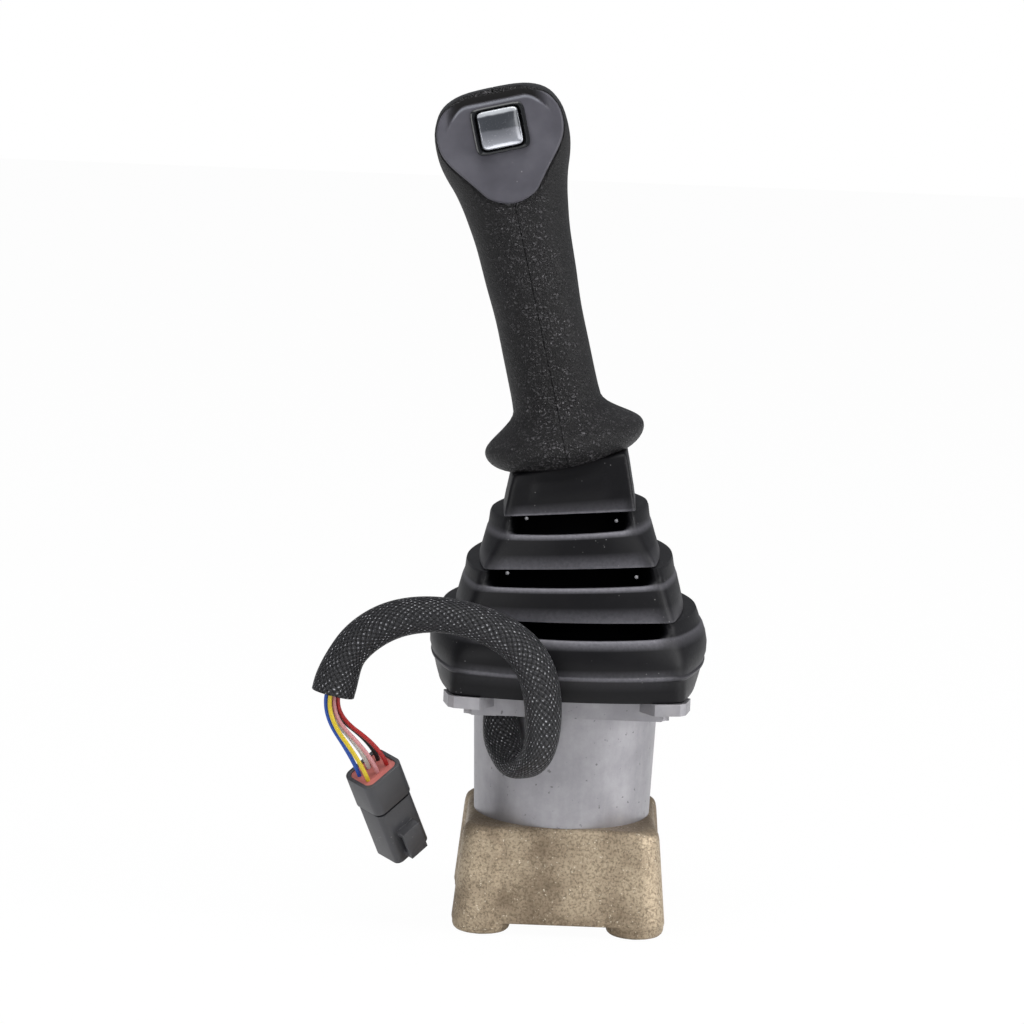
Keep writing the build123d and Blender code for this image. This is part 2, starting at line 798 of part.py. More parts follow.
def boot_outline(shift, height, lean, corner, middle):
    """A square outline with bowed sides, leaning with the lever."""
    tilt = radians(lean)
    plane = Plane(
        origin=(shift, 0, flange_top + boot_stretch * height),
        x_dir=(cos(tilt), 0, sin(tilt)),
        z_dir=(-sin(tilt), 0, cos(tilt)),
    )
    arcs = [
        ThreePointArc((-corner, -corner), (0, -middle), (corner, -corner)),
        ThreePointArc((corner, -corner), (middle, 0), (corner, corner)),
        ThreePointArc((corner, corner), (0, middle), (-corner, corner)),
        ThreePointArc((-corner, corner), (-middle, 0), (-corner, -corner)),
    ]
    return plane * make_face(arcs)


def boot():
    body = None
    for stretch in (boot_skirt, boot_middle, boot_upper, boot_neck):
        fold = loft([boot_outline(*section) for section in stretch], ruled=True)
        body = fold if body is None else body + fold
    body -= loft([boot_outline(*section) for section in boot_hollow], ruled=True)
    collar = rod(spigot_radius + boot_gap, 0, rest_bottom)
    return body - grip_plane.location * collar


# ---- Cable and connector ---------------------------------------------------------------------


def in_connector(shape):
    return connector_plane.location * shape


rear_end = -rear_size[2]
front_start = rear_end - joint_ring_thickness
front_end = front_start - front_size[2]
contact_places = [(column * contact_pitch, row * contact_pitch / 2)
                  for row in (1, -1) for column in (-1, 0, 1)]
wire_names = ("blue", "white", "black", "yellow", "pink", "red")


def connector_rear():
    width, depth, _ = rear_size
    body = rounded_slab(width, depth, rear_corner, rear_end, 0)
    seal_width, seal_depth, seal_length = seal_size
    body -= rounded_slab(seal_width, seal_depth, 3.0, -seal_sink - seal_length, 0)
    for x, y in contact_places:
        body -= rod(contact_radius, rear_end, 0, x, y)
    return in_connector(body)


def connector_seal():
    width, depth, length = seal_size
    gap = 2 * seat_gap
    return in_connector(
        rounded_slab(width - gap, depth - gap, 3.0 - seat_gap, -seal_sink - length, -seal_sink)
    )


def connector_joint_ring():
    width = rear_size[0] - 2 * joint_ring_inset
    depth = rear_size[1] - 2 * joint_ring_inset
    return in_connector(rounded_slab(width, depth, front_corner, front_start, rear_end))


def connector_front():
    width, depth, _ = front_size
    body = rounded_slab(width, depth, front_corner, front_end, front_start)
    for x, y in contact_places:
        body -= rod(contact_radius + contact_clearance, front_end, front_end + contact_length, x, y)
    bar_width, bar_thickness, bar_length = latch_size
    low = front_end + latch_end
    bar_y = -depth / 2 - latch_standoff - bar_thickness / 2
    body += slab(bar_width, bar_thickness, low, low + bar_length, 0, bar_y)
    foot_depth = latch_standoff + 1.0
    foot_y = -depth / 2 - latch_standoff / 2
    for foot_low in (low, low + bar_length - latch_foot):
        body += slab(bar_width, foot_depth, foot_low, foot_low + latch_foot, 0, foot_y)
    return in_connector(body)


def connector_contacts():
    """Six socket contacts in the plug."""
    low = front_end + 2.0
    high = front_end + contact_length
    contacts = [in_connector(tube(contact_radius, contact_bore, low, high, x, y)) for x, y in contact_places]
    return Compound(children=contacts)


def wires():
    """The six wires between the sleeve's end and the connector's rear seal."""
    end = Vector(*sleeve_route[-1])
    out = (end - Vector(*sleeve_route[-2])).normalized()
    across = (out * -1).cross(Vector(*connector_right)).normalized()
    bundle = Plane(origin=end, x_dir=across.cross(out * -1), z_dir=out * -1)
    made = {}
    for name, place in zip(wire_names, contact_places):
        start = bundle.from_local_coords((wire_bundle_share * place[0], wire_bundle_share * place[1], 0))
        leave = start + out * wire_straight
        enter = connector_plane.from_local_coords((*place, wire_straight))
        finish = connector_plane.from_local_coords((*place, -seal_sink))
        made["wire_" + name] = cord([tuple(start), tuple(leave), tuple(enter), tuple(finish)], wire_radius)
    return made


# ---- All pieces ------------------------------------------------------------------------------


def pieces():
    left_half, right_half = grip_halves()
    nodes = {
        "port_casing": port_casing(),
        "face_seals": face_seals(),
        "upper_housing": upper_housing(),
        "housing_screws": housing_screws(),
        "cable_grommet": cable_grommet(),
        "retainer_plate": retainer_plate(),
        "pusher_bushes": Compound(children=compass(bush)),
        "bush_seals": Compound(children=compass(bush_seal)),
        "pusher_seals": Compound(children=compass(pusher_seal)),
        "spring_washers": Compound(children=compass(washer)),
        "joint_base": joint_base(),
        "joint_cross": joint_cross(),
        "joint_top": joint_top(),
        "cam_disc": cam_disc(),
        "adjusting_nut": hex_nut(disc_top, adjusting_nut_top),
        "lock_nut": hex_nut(adjusting_nut_top, lock_nut_top),
        "lever_tube": lever_tube(),
        "grip_left_half": left_half,
        "grip_right_half": right_half,
        "grip_screws": grip_screws(),
        "switch_lead": switch_lead(),
        "face_panel": face_panel(),
        "switch_body": switch_body(),
        "switch_button": switch_button(),
        "button_spring": button_spring(),
        "boot": boot(),
        "cable_sleeve": cord(sleeve_route, sleeve_radius),
        "connector_rear": connector_rear(),
        "connector_seal": connector_seal(),
        "connector_joint_ring": connector_joint_ring(),
        "connector_front": connector_front(),
        "connector_contacts": connector_contacts(),
    }
    for name, (x, y) in directions.items():
        place = (push_circle * x, push_circle * y)
        nodes["pusher_" + name] = pusher(*place)
        nodes["spring_seat_" + name] = spring_seat(*place)
        nodes["return_spring_" + name] = return_spring(*place)
        nodes["balance_spring_" + name] = balance_spring(*place)
        nodes["spool_" + name] = spool(*place)
    nodes.update(wires())
    return nodes


os.makedirs("parts", exist_ok=True)
for node, shape in pieces().items():
    export_step(shape, f"parts/{node}.step")
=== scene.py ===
# %% [markdown]
# # A hydraulic pilot joystick valve, dressed in Blender
# The valve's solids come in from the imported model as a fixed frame. Each later cell adds one piece or
# finish over them: soft rubber, leather-grained plastic, cast iron, braided sleeve. Everything is in
# metres, +Z up, with the front of the lever facing -Y.

# %% Load the frame
import json
from math import cos, hypot, pi, radians, sin, tan

import bmesh
import bpy
from mathutils import Matrix, Vector, kdtree


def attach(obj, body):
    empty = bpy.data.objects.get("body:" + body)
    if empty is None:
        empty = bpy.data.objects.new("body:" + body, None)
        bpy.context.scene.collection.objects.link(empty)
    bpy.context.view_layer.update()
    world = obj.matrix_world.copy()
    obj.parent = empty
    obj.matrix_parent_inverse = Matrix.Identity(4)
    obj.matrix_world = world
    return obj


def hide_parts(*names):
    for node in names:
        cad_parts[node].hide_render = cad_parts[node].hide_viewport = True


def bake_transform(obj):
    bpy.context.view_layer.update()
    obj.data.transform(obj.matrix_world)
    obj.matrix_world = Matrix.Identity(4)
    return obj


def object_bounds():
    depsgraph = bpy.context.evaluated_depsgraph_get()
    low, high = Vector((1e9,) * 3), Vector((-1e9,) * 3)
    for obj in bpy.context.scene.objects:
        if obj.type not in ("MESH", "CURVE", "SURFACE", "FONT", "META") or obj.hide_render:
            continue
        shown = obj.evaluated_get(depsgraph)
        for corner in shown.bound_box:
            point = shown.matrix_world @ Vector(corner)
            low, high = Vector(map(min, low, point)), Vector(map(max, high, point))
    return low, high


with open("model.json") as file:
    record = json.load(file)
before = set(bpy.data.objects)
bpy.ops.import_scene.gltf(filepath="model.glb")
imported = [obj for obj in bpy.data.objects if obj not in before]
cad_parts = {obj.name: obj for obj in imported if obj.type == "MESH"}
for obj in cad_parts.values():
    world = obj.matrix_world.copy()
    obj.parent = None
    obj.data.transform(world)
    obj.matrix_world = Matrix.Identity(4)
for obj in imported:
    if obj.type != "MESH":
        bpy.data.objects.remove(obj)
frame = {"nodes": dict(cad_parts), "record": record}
cad_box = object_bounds()
MM = 0.001

# %% [markdown]
# ## The camera
# A long lens two metres away, a little above the grip, keeps the tall lever free of perspective. The
# camera is rolled slightly, as a hand-held one is.

# %% Camera
eye = Vector((-25.6, -2000.0, 513.0)) * MM
aim = Vector((-25.6, 0.0, 166.0)) * MM
roll = radians(2.2)
view_width = 427.6 * MM

forward = (aim - eye).normalized()
level_right = forward.cross(Vector((0, 0, 1))).normalized()
level_up = level_right.cross(forward)
camera_right = level_right * cos(roll) + level_up * sin(roll)
camera_up = level_up * cos(roll) - level_right * sin(roll)

lens = bpy.data.cameras.new("camera")
lens.sensor_width = 36.0
lens.lens = 36.0 * (aim - eye).length / view_width
camera = bpy.data.objects.new("camera", lens)
turn = Matrix((camera_right, camera_up, -forward)).transposed()
camera.matrix_world = Matrix.Translation(eye) @ turn.to_4x4()
bpy.context.collection.objects.link(camera)
bpy.context.scene.camera = camera
print("lens", round(lens.lens, 1), "mm")

# %% [markdown]
# ## Shader maths as plain expressions
# A surface's pattern is arithmetic on numbers that change from point to point. The class below wraps
# a socket so that sums are written as Python, and each operator adds one Math node.

# %% Values and finishes
class Value:
    """A socket in a material, on which sums add Math nodes."""

    def __init__(self, finish, socket):
        self.finish = finish
        self.socket = socket

    def math(self, operation, *others, reverse=False):
        inputs = [self, *others]
        if reverse:
            inputs.reverse()
        return self.finish.node("ShaderNodeMath", {"operation": operation}, inputs)

    def __add__(self, other):
        return self.math("ADD", other)

    __radd__ = __add__

    def __sub__(self, other):
        return self.math("SUBTRACT", other)

    def __rsub__(self, other):
        return self.math("SUBTRACT", other, reverse=True)

    def __mul__(self, other):
        return self.math("MULTIPLY", other)

    def __truediv__(self, other):
        return self.math("DIVIDE", other)

    def __pow__(self, other):
        return self.math("POWER", other)

    def clamp(self):
        return self.math("MINIMUM", 1.0).math("MAXIMUM", 0.0)

    def above(self, low, high):
        """0 below low, 1 above high, and a smooth step between."""
        settings = {"interpolation_type": "SMOOTHSTEP"}
        inputs = {"Value": self, "From Min": low, "From Max": high}
        return self.finish.node("ShaderNodeMapRange", settings, inputs)


class Finish:
    """A material built from nodes."""

    def __init__(self, name):
        self.material = bpy.data.materials.new(name)
        self.material.use_nodes = True
        self.tree = self.material.node_tree
        self.tree.nodes.clear()
        self.places = self.node("ShaderNodeTexCoord", output="Object")

    def node(self, kind, settings=None, inputs=None, output=0):
        """Adds a node, sets it up, feeds its sockets and returns one output."""
        made = self.tree.nodes.new(kind)
        for key, setting in (settings or {}).items():
            setattr(made, key, setting)
        pairs = inputs.items() if isinstance(inputs, dict) else enumerate(inputs or [])
        for key, source in pairs:
            socket = made.inputs[key]
            if isinstance(source, Value):
                self.tree.links.new(source.socket, socket)
            else:
                socket.default_value = source
        return Value(self, made.outputs[output])

    def axes(self, place):
        """A place's numbers along X, Y and Z."""
        split = self.node("ShaderNodeSeparateXYZ", None, [place]).socket.node
        return [Value(self, split.outputs[axis]) for axis in "XYZ"]

    def marked(self, name):
        """The number that mark_points gave the mesh under this name."""
        return self.node("ShaderNodeAttribute", {"attribute_name": name}, output="Fac")

    def noise(self, scale, detail=3.0, roughness=0.5, stretch=None, distortion=0.0):
        place = self.places
        if stretch:
            place = self.node("ShaderNodeMapping", None, {"Vector": self.places, "Scale": stretch})
        inputs = {"Vector": place, "Scale": scale, "Detail": detail}
        inputs["Roughness"] = roughness
        inputs["Distortion"] = distortion
        return self.node("ShaderNodeTexNoise", None, inputs)

    def cells(self, scale, feature="F1"):
        inputs = {"Vector": self.places, "Scale": scale}
        return self.node("ShaderNodeTexVoronoi", {"feature": feature}, inputs, "Distance")

    def dust(self, scale, size, patch_scale, least):
        """Small round specks that gather in patches."""
        specks = 1.0 - self.cells(scale).above(0.0, size)
        return specks * self.noise(patch_scale, 2.0).above(least, least + 0.10)

    def blend_colours(self, share, first, second):
        """A colour that is all first where share is 0 and all second where it is 1."""
        first = first if isinstance(first, Value) else (*first, 1.0)
        inputs = {0: share, 6: first, 7: (*second, 1.0)}
        return self.node("ShaderNodeMix", {"data_type": "RGBA"}, inputs, output=2)

    def height(self, pattern, depth):
        """A bump whose pattern from 0 to 1 stands for a real depth in metres."""
        inputs = {"Strength": 1.0, "Distance": depth, "Height": pattern}
        return self.node("ShaderNodeBump", None, inputs)

    def skin(self, colour, roughness, normal=None, metallic=0.0, specular=0.5, coat=0.0):
        inputs = {"Base Color": colour, "Roughness": roughness, "Metallic": metallic}
        inputs["Specular IOR Level"] = specular
        inputs["Coat Weight"] = coat
        inputs["Coat Roughness"] = 0.1
        if normal:
            inputs["Normal"] = normal
        return self.node("ShaderNodeBsdfPrincipled", None, inputs)

    def done(self, shader):
        """The material, with this shader on its surface."""
        output = self.tree.nodes.new("ShaderNodeOutputMaterial")
        self.tree.links.new(shader.socket, output.inputs["Surface"])
        return self.material

    def surface(self, *looks, **more_looks):
        return self.done(self.skin(*looks, **more_looks))


print("shader tools ready")

# %% [markdown]
# ## The grip's axes
# The grip leans towards -X. Its own axes are: sideways across it, depth along Y, and height from the
# bend in the lever upwards. The switch and the face panel lie on a plane that leans back from it.

# %% Grip axes
grip_lean = radians(13.75)
grip_foot = Vector((0.0, 0.0, 177.7)) * MM
grip_side = Vector((cos(grip_lean), 0.0, sin(grip_lean)))
grip_up = Vector((-sin(grip_lean), 0.0, cos(grip_lean)))
grip_back = Vector((0.0, 1.0, 0.0))


def in_grip(side, depth, height):
    """A point given in millimetres along the grip's own axes."""
    return grip_foot + (grip_side * side + grip_back * depth + grip_up * height) * MM


panel_lean = radians(10.0)
panel_foot_depth = -21.0
panel_foot_height = 122.5
switch_side = 0.2
switch_height = 154.0
switch_depth = panel_foot_depth + (switch_height - panel_foot_height) * tan(panel_lean)
panel_out = (grip_back * -cos(panel_lean) + grip_up * sin(panel_lean)).normalized()
panel_up = (grip_up * cos(panel_lean) + grip_back * sin(panel_lean)).normalized()
switch_centre = in_grip(switch_side, switch_depth, switch_height)


def on_panel(side, up, out):
    """A point in millimetres from the switch's centre, on the face panel."""
    return switch_centre + (grip_side * side + panel_up * up + panel_out * out) * MM


print("panel faces", tuple(round(part, 3) for part in panel_out))

# %% [markdown]
# ## Moulded plastics and rubber
# Black plastic is never one flat black. Mould texture, handling and dust change its colour and its
# shine a little from place to place, so one helper mixes two near tones by a slow noise and adds a
# fine bump. The face panel and the boot also carry painted shade and painted highlights, placed where
# their meshes are marked.

# %% Plastics and rubbers
def moulded(name, dark, light, roughness, grain=900.0, depth=0.00003, specular=0.4, dust=0.0):
    finish = Finish(name)
    cloud = finish.noise(38.0, 4.0, 0.6)
    fine = finish.noise(grain, 3.0, 0.6)
    colour = finish.blend_colours(cloud, dark, light)
    if dust:
        specks = finish.dust(420.0, 0.16, 60.0, 0.52)
        colour = finish.blend_colours(specks * dust, colour, (0.35, 0.34, 0.33))
    shine = roughness + (cloud - 0.5) * 0.16 + (fine - 0.5) * 0.10
    return finish.surface(colour, shine, finish.height(fine, depth), specular=specular)


# Each: dark and light tone and roughness, then the grain's scale and depth, the specular and the dust.
plastics = {
    "seal_rubber": ((0.006, 0.006, 0.006), (0.014, 0.014, 0.014), 0.55, 900.0, 0.00003, 0.3),
    "hood_plastic": ((0.004, 0.004, 0.0045), (0.008, 0.008, 0.009), 0.38, 1500.0, 0.00002, 0.2),
    "bezel_plastic": ((0.006, 0.0065, 0.007), (0.014, 0.015, 0.017), 0.22, 2000.0, 0.00001, 0.5),
    "connector_grey": ((0.030, 0.030, 0.033), (0.062, 0.062, 0.068), 0.40, 1100.0, 0.00005, 0.5, 0.6),
    "connector_dark": ((0.008, 0.008, 0.009), (0.018, 0.018, 0.019), 0.5),
    "seal_red": ((0.42, 0.10, 0.09), (0.56, 0.19, 0.16), 0.5, 900.0, 0.00004),
    # Painted highlight: the pegs' pale grey stands in for their lit tips.
    "peg_highlight_rubber": ((0.16, 0.16, 0.17), (0.26, 0.26, 0.27), 0.5, 900.0, 0.00004),
}
plastics = {name: moulded(name, *looks) for name, looks in plastics.items()}


def hooded_plastic(name):
    """Satin plastic with near-black painted shade under the hood and a painted highlight on one edge.
    """
    finish = Finish(name)
    cloud = finish.noise(30.0, 4.0, 0.6)
    fine = finish.noise(1500.0, 3.0, 0.6)
    hood_shade = finish.marked("hood_shade")
    crease_highlight = finish.marked("crease_highlight")
    scuffs = finish.dust(330.0, 0.13, 70.0, 0.55)
    tone = cloud.above(0.35, 0.65)
    colour = finish.blend_colours(tone, (0.068, 0.066, 0.079), (0.100, 0.098, 0.115))
    colour = finish.blend_colours(scuffs * 0.7, colour, (0.40, 0.39, 0.40))
    # Painted highlight along the edge over the switch, then near-black painted shade under the hood.
    colour = finish.blend_colours((crease_highlight * 0.7).clamp(), colour, (0.26, 0.27, 0.30))
    colour = finish.blend_colours(hood_shade, colour, (0.0035, 0.0030, 0.0030))
    shine = 0.46 + (cloud - 0.5) * 0.16 + hood_shade * 0.2
    return finish.surface(colour, shine.clamp(), finish.height(fine, 0.00003), specular=0.25)


panel_plastic = hooded_plastic("panel_plastic")


def fold_rubber(name):
    """Rubber with a painted highlight along its creases and near-black painted shade inside its folds.
    """
    finish = Finish(name)
    cloud = finish.noise(38.0, 4.0, 0.6)
    fine = finish.noise(700.0, 3.0, 0.6)
    crease_highlight = finish.marked("crease_highlight")
    dust = finish.dust(420.0, 0.15, 60.0, 0.54)
    colour = finish.blend_colours(cloud, (0.0022, 0.0021, 0.0028), (0.0065, 0.0063, 0.0078))
    # Painted highlight: the creases are painted pale.
    highlight_share = (crease_highlight * (0.45 + fine * 0.8)).clamp()
    colour = finish.blend_colours(highlight_share, colour, (0.22, 0.215, 0.24))
    colour = finish.blend_colours(dust * 0.6, colour, (0.30, 0.29, 0.29))
    shine = 0.46 + (cloud - 0.5) * 0.18 + (fine - 0.5) * 0.10
    outside = finish.skin(colour, shine.clamp(), finish.height(fine, 0.00006), specular=0.20)
    # Painted shade: a near-black diffuse inside the folds.
    inside = finish.node("ShaderNodeBsdfDiffuse", None, {"Color": (0.0012, 0.0012, 0.0014, 1.0)})
    mixture = {0: finish.marked("fold_shade"), 1: outside, 2: inside}
    return finish.done(finish.node("ShaderNodeMixShader", None, mixture))


boot_rubber = fold_rubber("boot_rubber")
print("plastics", len(bpy.data.materials))

# %% [markdown]
# The grip's leather grain is deepest down the middle of its front and back, and fades at the sides.
# Its tops carry a painted highlight, strongest there and on the hand rest, with painted glints.

# %% Leather grain for the grip
def leather_grain(name):
    """Pebbled leather grain, from wrinkles that are broken up by pebbles of two sizes."""
    finish = Finish(name)
    x, _, z = finish.axes(finish.places)
    along = z - grip_foot.z
    across = (x * cos(grip_lean) + along * sin(grip_lean)).math("ABSOLUTE")
    middle = 1.0 - across.above(0.007, 0.019)
    wrinkles = finish.noise(300.0, 3.0, 0.62, stretch=(1.0, 1.0, 1.5), distortion=1.6).above(0.42, 0.60)
    pebbles = finish.cells(560.0, "DISTANCE_TO_EDGE").above(0.02, 0.26)
    small = finish.cells(1300.0, "DISTANCE_TO_EDGE").above(0.02, 0.30)
    patches = finish.noise(45.0, 3.0, 0.55)
    coarse = wrinkles * pebbles
    hand_rest = 1.0 - along.above(0.030, 0.046)
    strength = (middle * 0.70 + hand_rest * 0.45 + 0.12).clamp()
    relief = coarse * (strength * 0.8 + 0.1) + small * 0.16
    # Painted highlight: the grain's tops are painted paler, and glints are painted on the wrinkles.
    painted_highlight_tops = (coarse * strength) ** 1.5
    base = finish.blend_colours(patches, (0.0016, 0.0014, 0.0017), (0.0075, 0.0070, 0.0078))
    colour = finish.blend_colours(painted_highlight_tops, base, (0.082, 0.078, 0.084))
    glints = finish.noise(1500.0, 2.0, 0.6).above(0.60, 0.68) * strength * wrinkles
    colour = finish.blend_colours(glints * 0.8, colour, (0.30, 0.29, 0.30))
    shine = 0.48 - painted_highlight_tops * 0.12 + (patches - 0.5) * 0.14
    return finish.surface(colour, shine, finish.height(relief, 0.0012), specular=0.30)


grip_leather = leather_grain("grip_leather")
print("grain ready")

# %% [markdown]
# ## Metals
# The port casing is a rough sand casting with a thin golden passivated skin. The upper housing is
# aluminium, dull and faintly blotchy, with a few dark specks. Inner steel is ground or zinc plated.

# %% Metal finishes
def cast_gold(name):
    finish = Finish(name)
    patches = finish.noise(34.0, 5.0, 0.62)
    grains = finish.noise(950.0, 4.0, 0.7)
    pits = finish.cells(520.0).above(0.05, 0.42)
    flecks = finish.noise(900.0, 2.0, 0.6).above(0.66, 0.74)
    tone = patches.above(0.35, 0.65)
    colour = finish.blend_colours(tone, (0.25, 0.190, 0.128), (0.53, 0.430, 0.305))
    colour = finish.blend_colours(grains.above(0.44, 0.64) * 0.62, colour, (0.11, 0.082, 0.050))
    colour = finish.blend_colours(flecks * 0.9, colour, (0.90, 0.82, 0.66))
    shine = 0.52 + (grains - 0.5) * 0.5 - flecks * 0.15
    relief = grains * 0.7 + pits * 0.3
    return finish.surface(colour, shine.clamp(), finish.height(relief, 0.00035), metallic=0.62)


def cast_aluminium(name):
    finish = Finish(name)
    blotches = finish.noise(42.0, 6.0, 0.68)
    streaks = finish.noise(60.0, 4.0, 0.6, stretch=(1.0, 1.0, 0.16))
    fine = finish.noise(1300.0, 3.0, 0.6)
    tone = (blotches * 0.6 + streaks * 0.4).above(0.34, 0.70)
    colour = finish.blend_colours(tone, (0.28, 0.274, 0.292), (0.43, 0.42, 0.44))
    stains = finish.noise(24.0, 4.0, 0.6).above(0.60, 0.74)
    colour = finish.blend_colours(stains * 0.3, colour, (0.36, 0.31, 0.25))
    specks = finish.noise(420.0, 3.0, 0.6).above(0.66, 0.72)
    colour = finish.blend_colours(specks * 0.65, colour, (0.085, 0.082, 0.085))
    shine = 0.46 + (blotches - 0.5) * 0.18 + (fine - 0.5) * 0.16
    return finish.surface(colour, shine.clamp(), finish.height(fine, 0.00005), metallic=0.72)


def plain_metal(name, dark, light, roughness):
    finish = Finish(name)
    lines = finish.noise(160.0, 3.0, 0.6, stretch=(1.0, 1.0, 12.0))
    cloud = finish.noise(70.0, 3.0, 0.55)
    colour = finish.blend_colours(cloud, dark, light)
    shine = roughness + (lines - 0.5) * 0.22
    return finish.surface(colour, shine.clamp(), finish.height(lines, 0.00002), metallic=1.0)


golden_casting = cast_gold("golden_casting")
zinc_steel = plain_metal("zinc_steel", (0.50, 0.50, 0.48), (0.66, 0.65, 0.62), 0.38)
print("metals ready")

# %% Finishes for the solids that stay
wire_colours = {
    "blue": (0.020, 0.085, 0.42),
    "white": (0.72, 0.70, 0.64),
    "black": (0.012, 0.012, 0.013),
    "yellow": (0.75, 0.56, 0.03),
    "pink": (0.66, 0.30, 0.31),
    "red": (0.42, 0.020, 0.018),
}
wire_coats = {}
for key, colour in wire_colours.items():
    dark = tuple(0.75 * part for part in colour)
    wire_coats[key] = moulded("wire_" + key, dark, colour, 0.42, 1400.0, 0.00002)
by_slot = {
    "cast_iron": golden_casting,
    "cast_aluminium": cast_aluminium("dull_aluminium"),
    "steel": plain_metal("ground_steel", (0.45, 0.45, 0.46), (0.60, 0.60, 0.61), 0.30),
    "zinc_steel": zinc_steel,
    "black_steel": plain_metal("black_steel", (0.03, 0.03, 0.03), (0.06, 0.06, 0.06), 0.45),
    "brass": plain_metal("brass", (0.55, 0.40, 0.17), (0.74, 0.58, 0.28), 0.32),
    "boot_rubber": boot_rubber,
    "grip_plastic": grip_leather,
    "panel_plastic": panel_plastic,
    "black_gloss": plastics["bezel_plastic"],
    "silver_button": zinc_steel,
    "braid": plastics["seal_rubber"],
}
by_slot.update(plastics)
by_slot.update({"wire_" + key: coat for key, coat in wire_coats.items()})


def wear(piece, material):
    piece.data.materials.clear()
    piece.data.materials.append(material)


for part in frame["record"]["subparts"]:
    wear(frame["nodes"][part["node"]], by_slot[part["material_slot"]])

# %% [markdown]
# ## Tools for making pieces
# Most pieces here are shells: a ring of points that is extruded again and again, and given its next
# outline each time, as one would draw a bottle by extruding its rim. Nothing else may be selected
# when an operator runs.

# %% Modelling tools
def clear_selection():
    if bpy.context.object and bpy.context.object.mode != "OBJECT":
        bpy.ops.object.mode_set(mode="OBJECT")
    bpy.ops.object.select_all(action="DESELECT")


def pick(piece):
    clear_selection()
    piece.select_set(True)
    bpy.context.view_layer.objects.active = piece


def edit(piece):
    pick(piece)
    bpy.ops.object.mode_set(mode="EDIT")
    return bmesh.from_edit_mesh(piece.data)


def leave_edit():
    bpy.ops.object.mode_set(mode="OBJECT")


def tree_of(places):
    """Finds the nearest of many places."""
    tree = kdtree.KDTree(len(places))
    for index, place in enumerate(places):
        tree.insert(place, index)
    tree.balance()
    return tree


def nearest_to_vertices(piece, places):
    """For each vertex, the number of the place that it stands at."""
    tree = tree_of(places)
    return [tree.find(vertex.co)[1] for vertex in piece.data.vertices]


def shell(name, rings, close_start=True, close_end=True):
    """A skin through rings of points, all with the same number of points."""
    clear_selection()
    bpy.ops.mesh.primitive_circle_add(vertices=len(rings[0]), fill_type="NOTHING")
    piece = bpy.context.object
    piece.name = name
    for vertex, place in zip(piece.data.vertices, rings[0]):
        vertex.co = place
    edit(piece)
    bpy.ops.mesh.select_all(action="SELECT")
    if close_start:
        bpy.ops.mesh.edge_face_add()
        bpy.ops.mesh.select_all(action="SELECT")
        mesh = bmesh.from_edit_mesh(piece.data)
        for face in mesh.faces:
            face.select_set(False)
        for edge in mesh.edges:
            edge.select_set(True)
    last = rings[0]
    for ring in rings[1:]:
        tree = tree_of(last)
        bpy.ops.mesh.extrude_edges_move()
        mesh = bmesh.from_edit_mesh(piece.data)
        for vertex in mesh.verts:
            if vertex.select:
                _, index, _ = tree.find(vertex.co)
                vertex.co = ring[index]
        last = ring
    if close_end:
        bpy.ops.mesh.edge_face_add()
    bpy.ops.mesh.select_all(action="SELECT")
    bpy.ops.mesh.normals_make_consistent(inside=False)
    leave_edit()
    return piece


def modify(piece, kind, **settings):
    """Adds a modifier, sets it up and applies it."""
    pick(piece)
    modifier = piece.modifiers.new(kind.lower(), kind)
    for key, setting in settings.items():
        setattr(modifier, key, setting)
    bpy.ops.object.modifier_apply(modifier=modifier.name)


def soften(piece, angle):
    pick(piece)
    bpy.ops.object.shade_smooth_by_angle(angle=radians(angle))


def dress(piece, angle, material):
    soften(piece, angle)
    wear(piece, material)


def copy_of(piece, name):
    twin = piece.copy()
    twin.data = piece.data.copy()
    twin.name = name
    bpy.context.collection.objects.link(twin)
    return twin


def cut(piece, point, normal, keep_front=False):
    """Cuts a closed mesh with a plane and closes the cut."""
    edit(piece)
    bpy.ops.mesh.select_all(action="SELECT")
    bpy.ops.mesh.bisect(plane_co=point, plane_no=normal, use_fill=True,
                        clear_inner=keep_front, clear_outer=not keep_front)
    leave_edit()


def between(a, b, c, d, u):
    """A smooth curve through b and c, where u goes from 0 to 1, with a before and d after them."""
    bend = (2 * a - 5 * b + 4 * c - d) * u * u
    return 0.5 * (2 * b + (c - a) * u + bend + (3 * b - a - 3 * c + d) * u**3)


def smooth_rows(rows, steps):
    """Rows of numbers with more rows between them, on a smooth curve through the given ones."""
    made = []
    for index, count in enumerate(steps):
        start = rows[index]
        end = rows[index + 1]
        before = rows[max(index - 1, 0)]
        after = rows[min(index + 2, len(rows) - 1)]
        for step in range(count):
            columns = zip(before, start, end, after)
            made.append(tuple(between(*column, step / count) for column in columns))
    made.append(rows[-1])
    return made


def smooth_step(low, high, number):
    """0 up to low, 1 from high on, and a smooth step between."""
    share = min(max((number - low) / (high - low), 0.0), 1.0)
    return share * share * (3 - 2 * share)


def mark_points(piece, places, marks):
    """Gives each vertex the numbers listed for the place it stands at."""
    nearest = nearest_to_vertices(piece, places)
    for name, numbers in marks.items():
        layer = piece.data.attributes.new(name, "FLOAT", "POINT")
        for index, spot in enumerate(nearest):
            layer.data[index].value = numbers[spot]


def superellipse(angle, half_width, half_depth, squareness):
    """A point on an oval, which is nearer a rectangle the more its squareness is over 2."""
    c = cos(angle)
    s = sin(angle)
    across = half_width * abs(c) ** (2 / squareness) * (1 if c >= 0 else -1)
    along = half_depth * abs(s) ** (2 / squareness) * (1 if s >= 0 else -1)
    return across, along


print("tools ready")

# %% [markdown]
# ## The grip
# A waisted handle on a flared hand rest, moulded in two halves. Its outline goes from round at the
# shaft to nearly square at the front of the head. The whole handle is one shell of rings; it is then
# cut flat for the face panel, and parted along the mould seam.

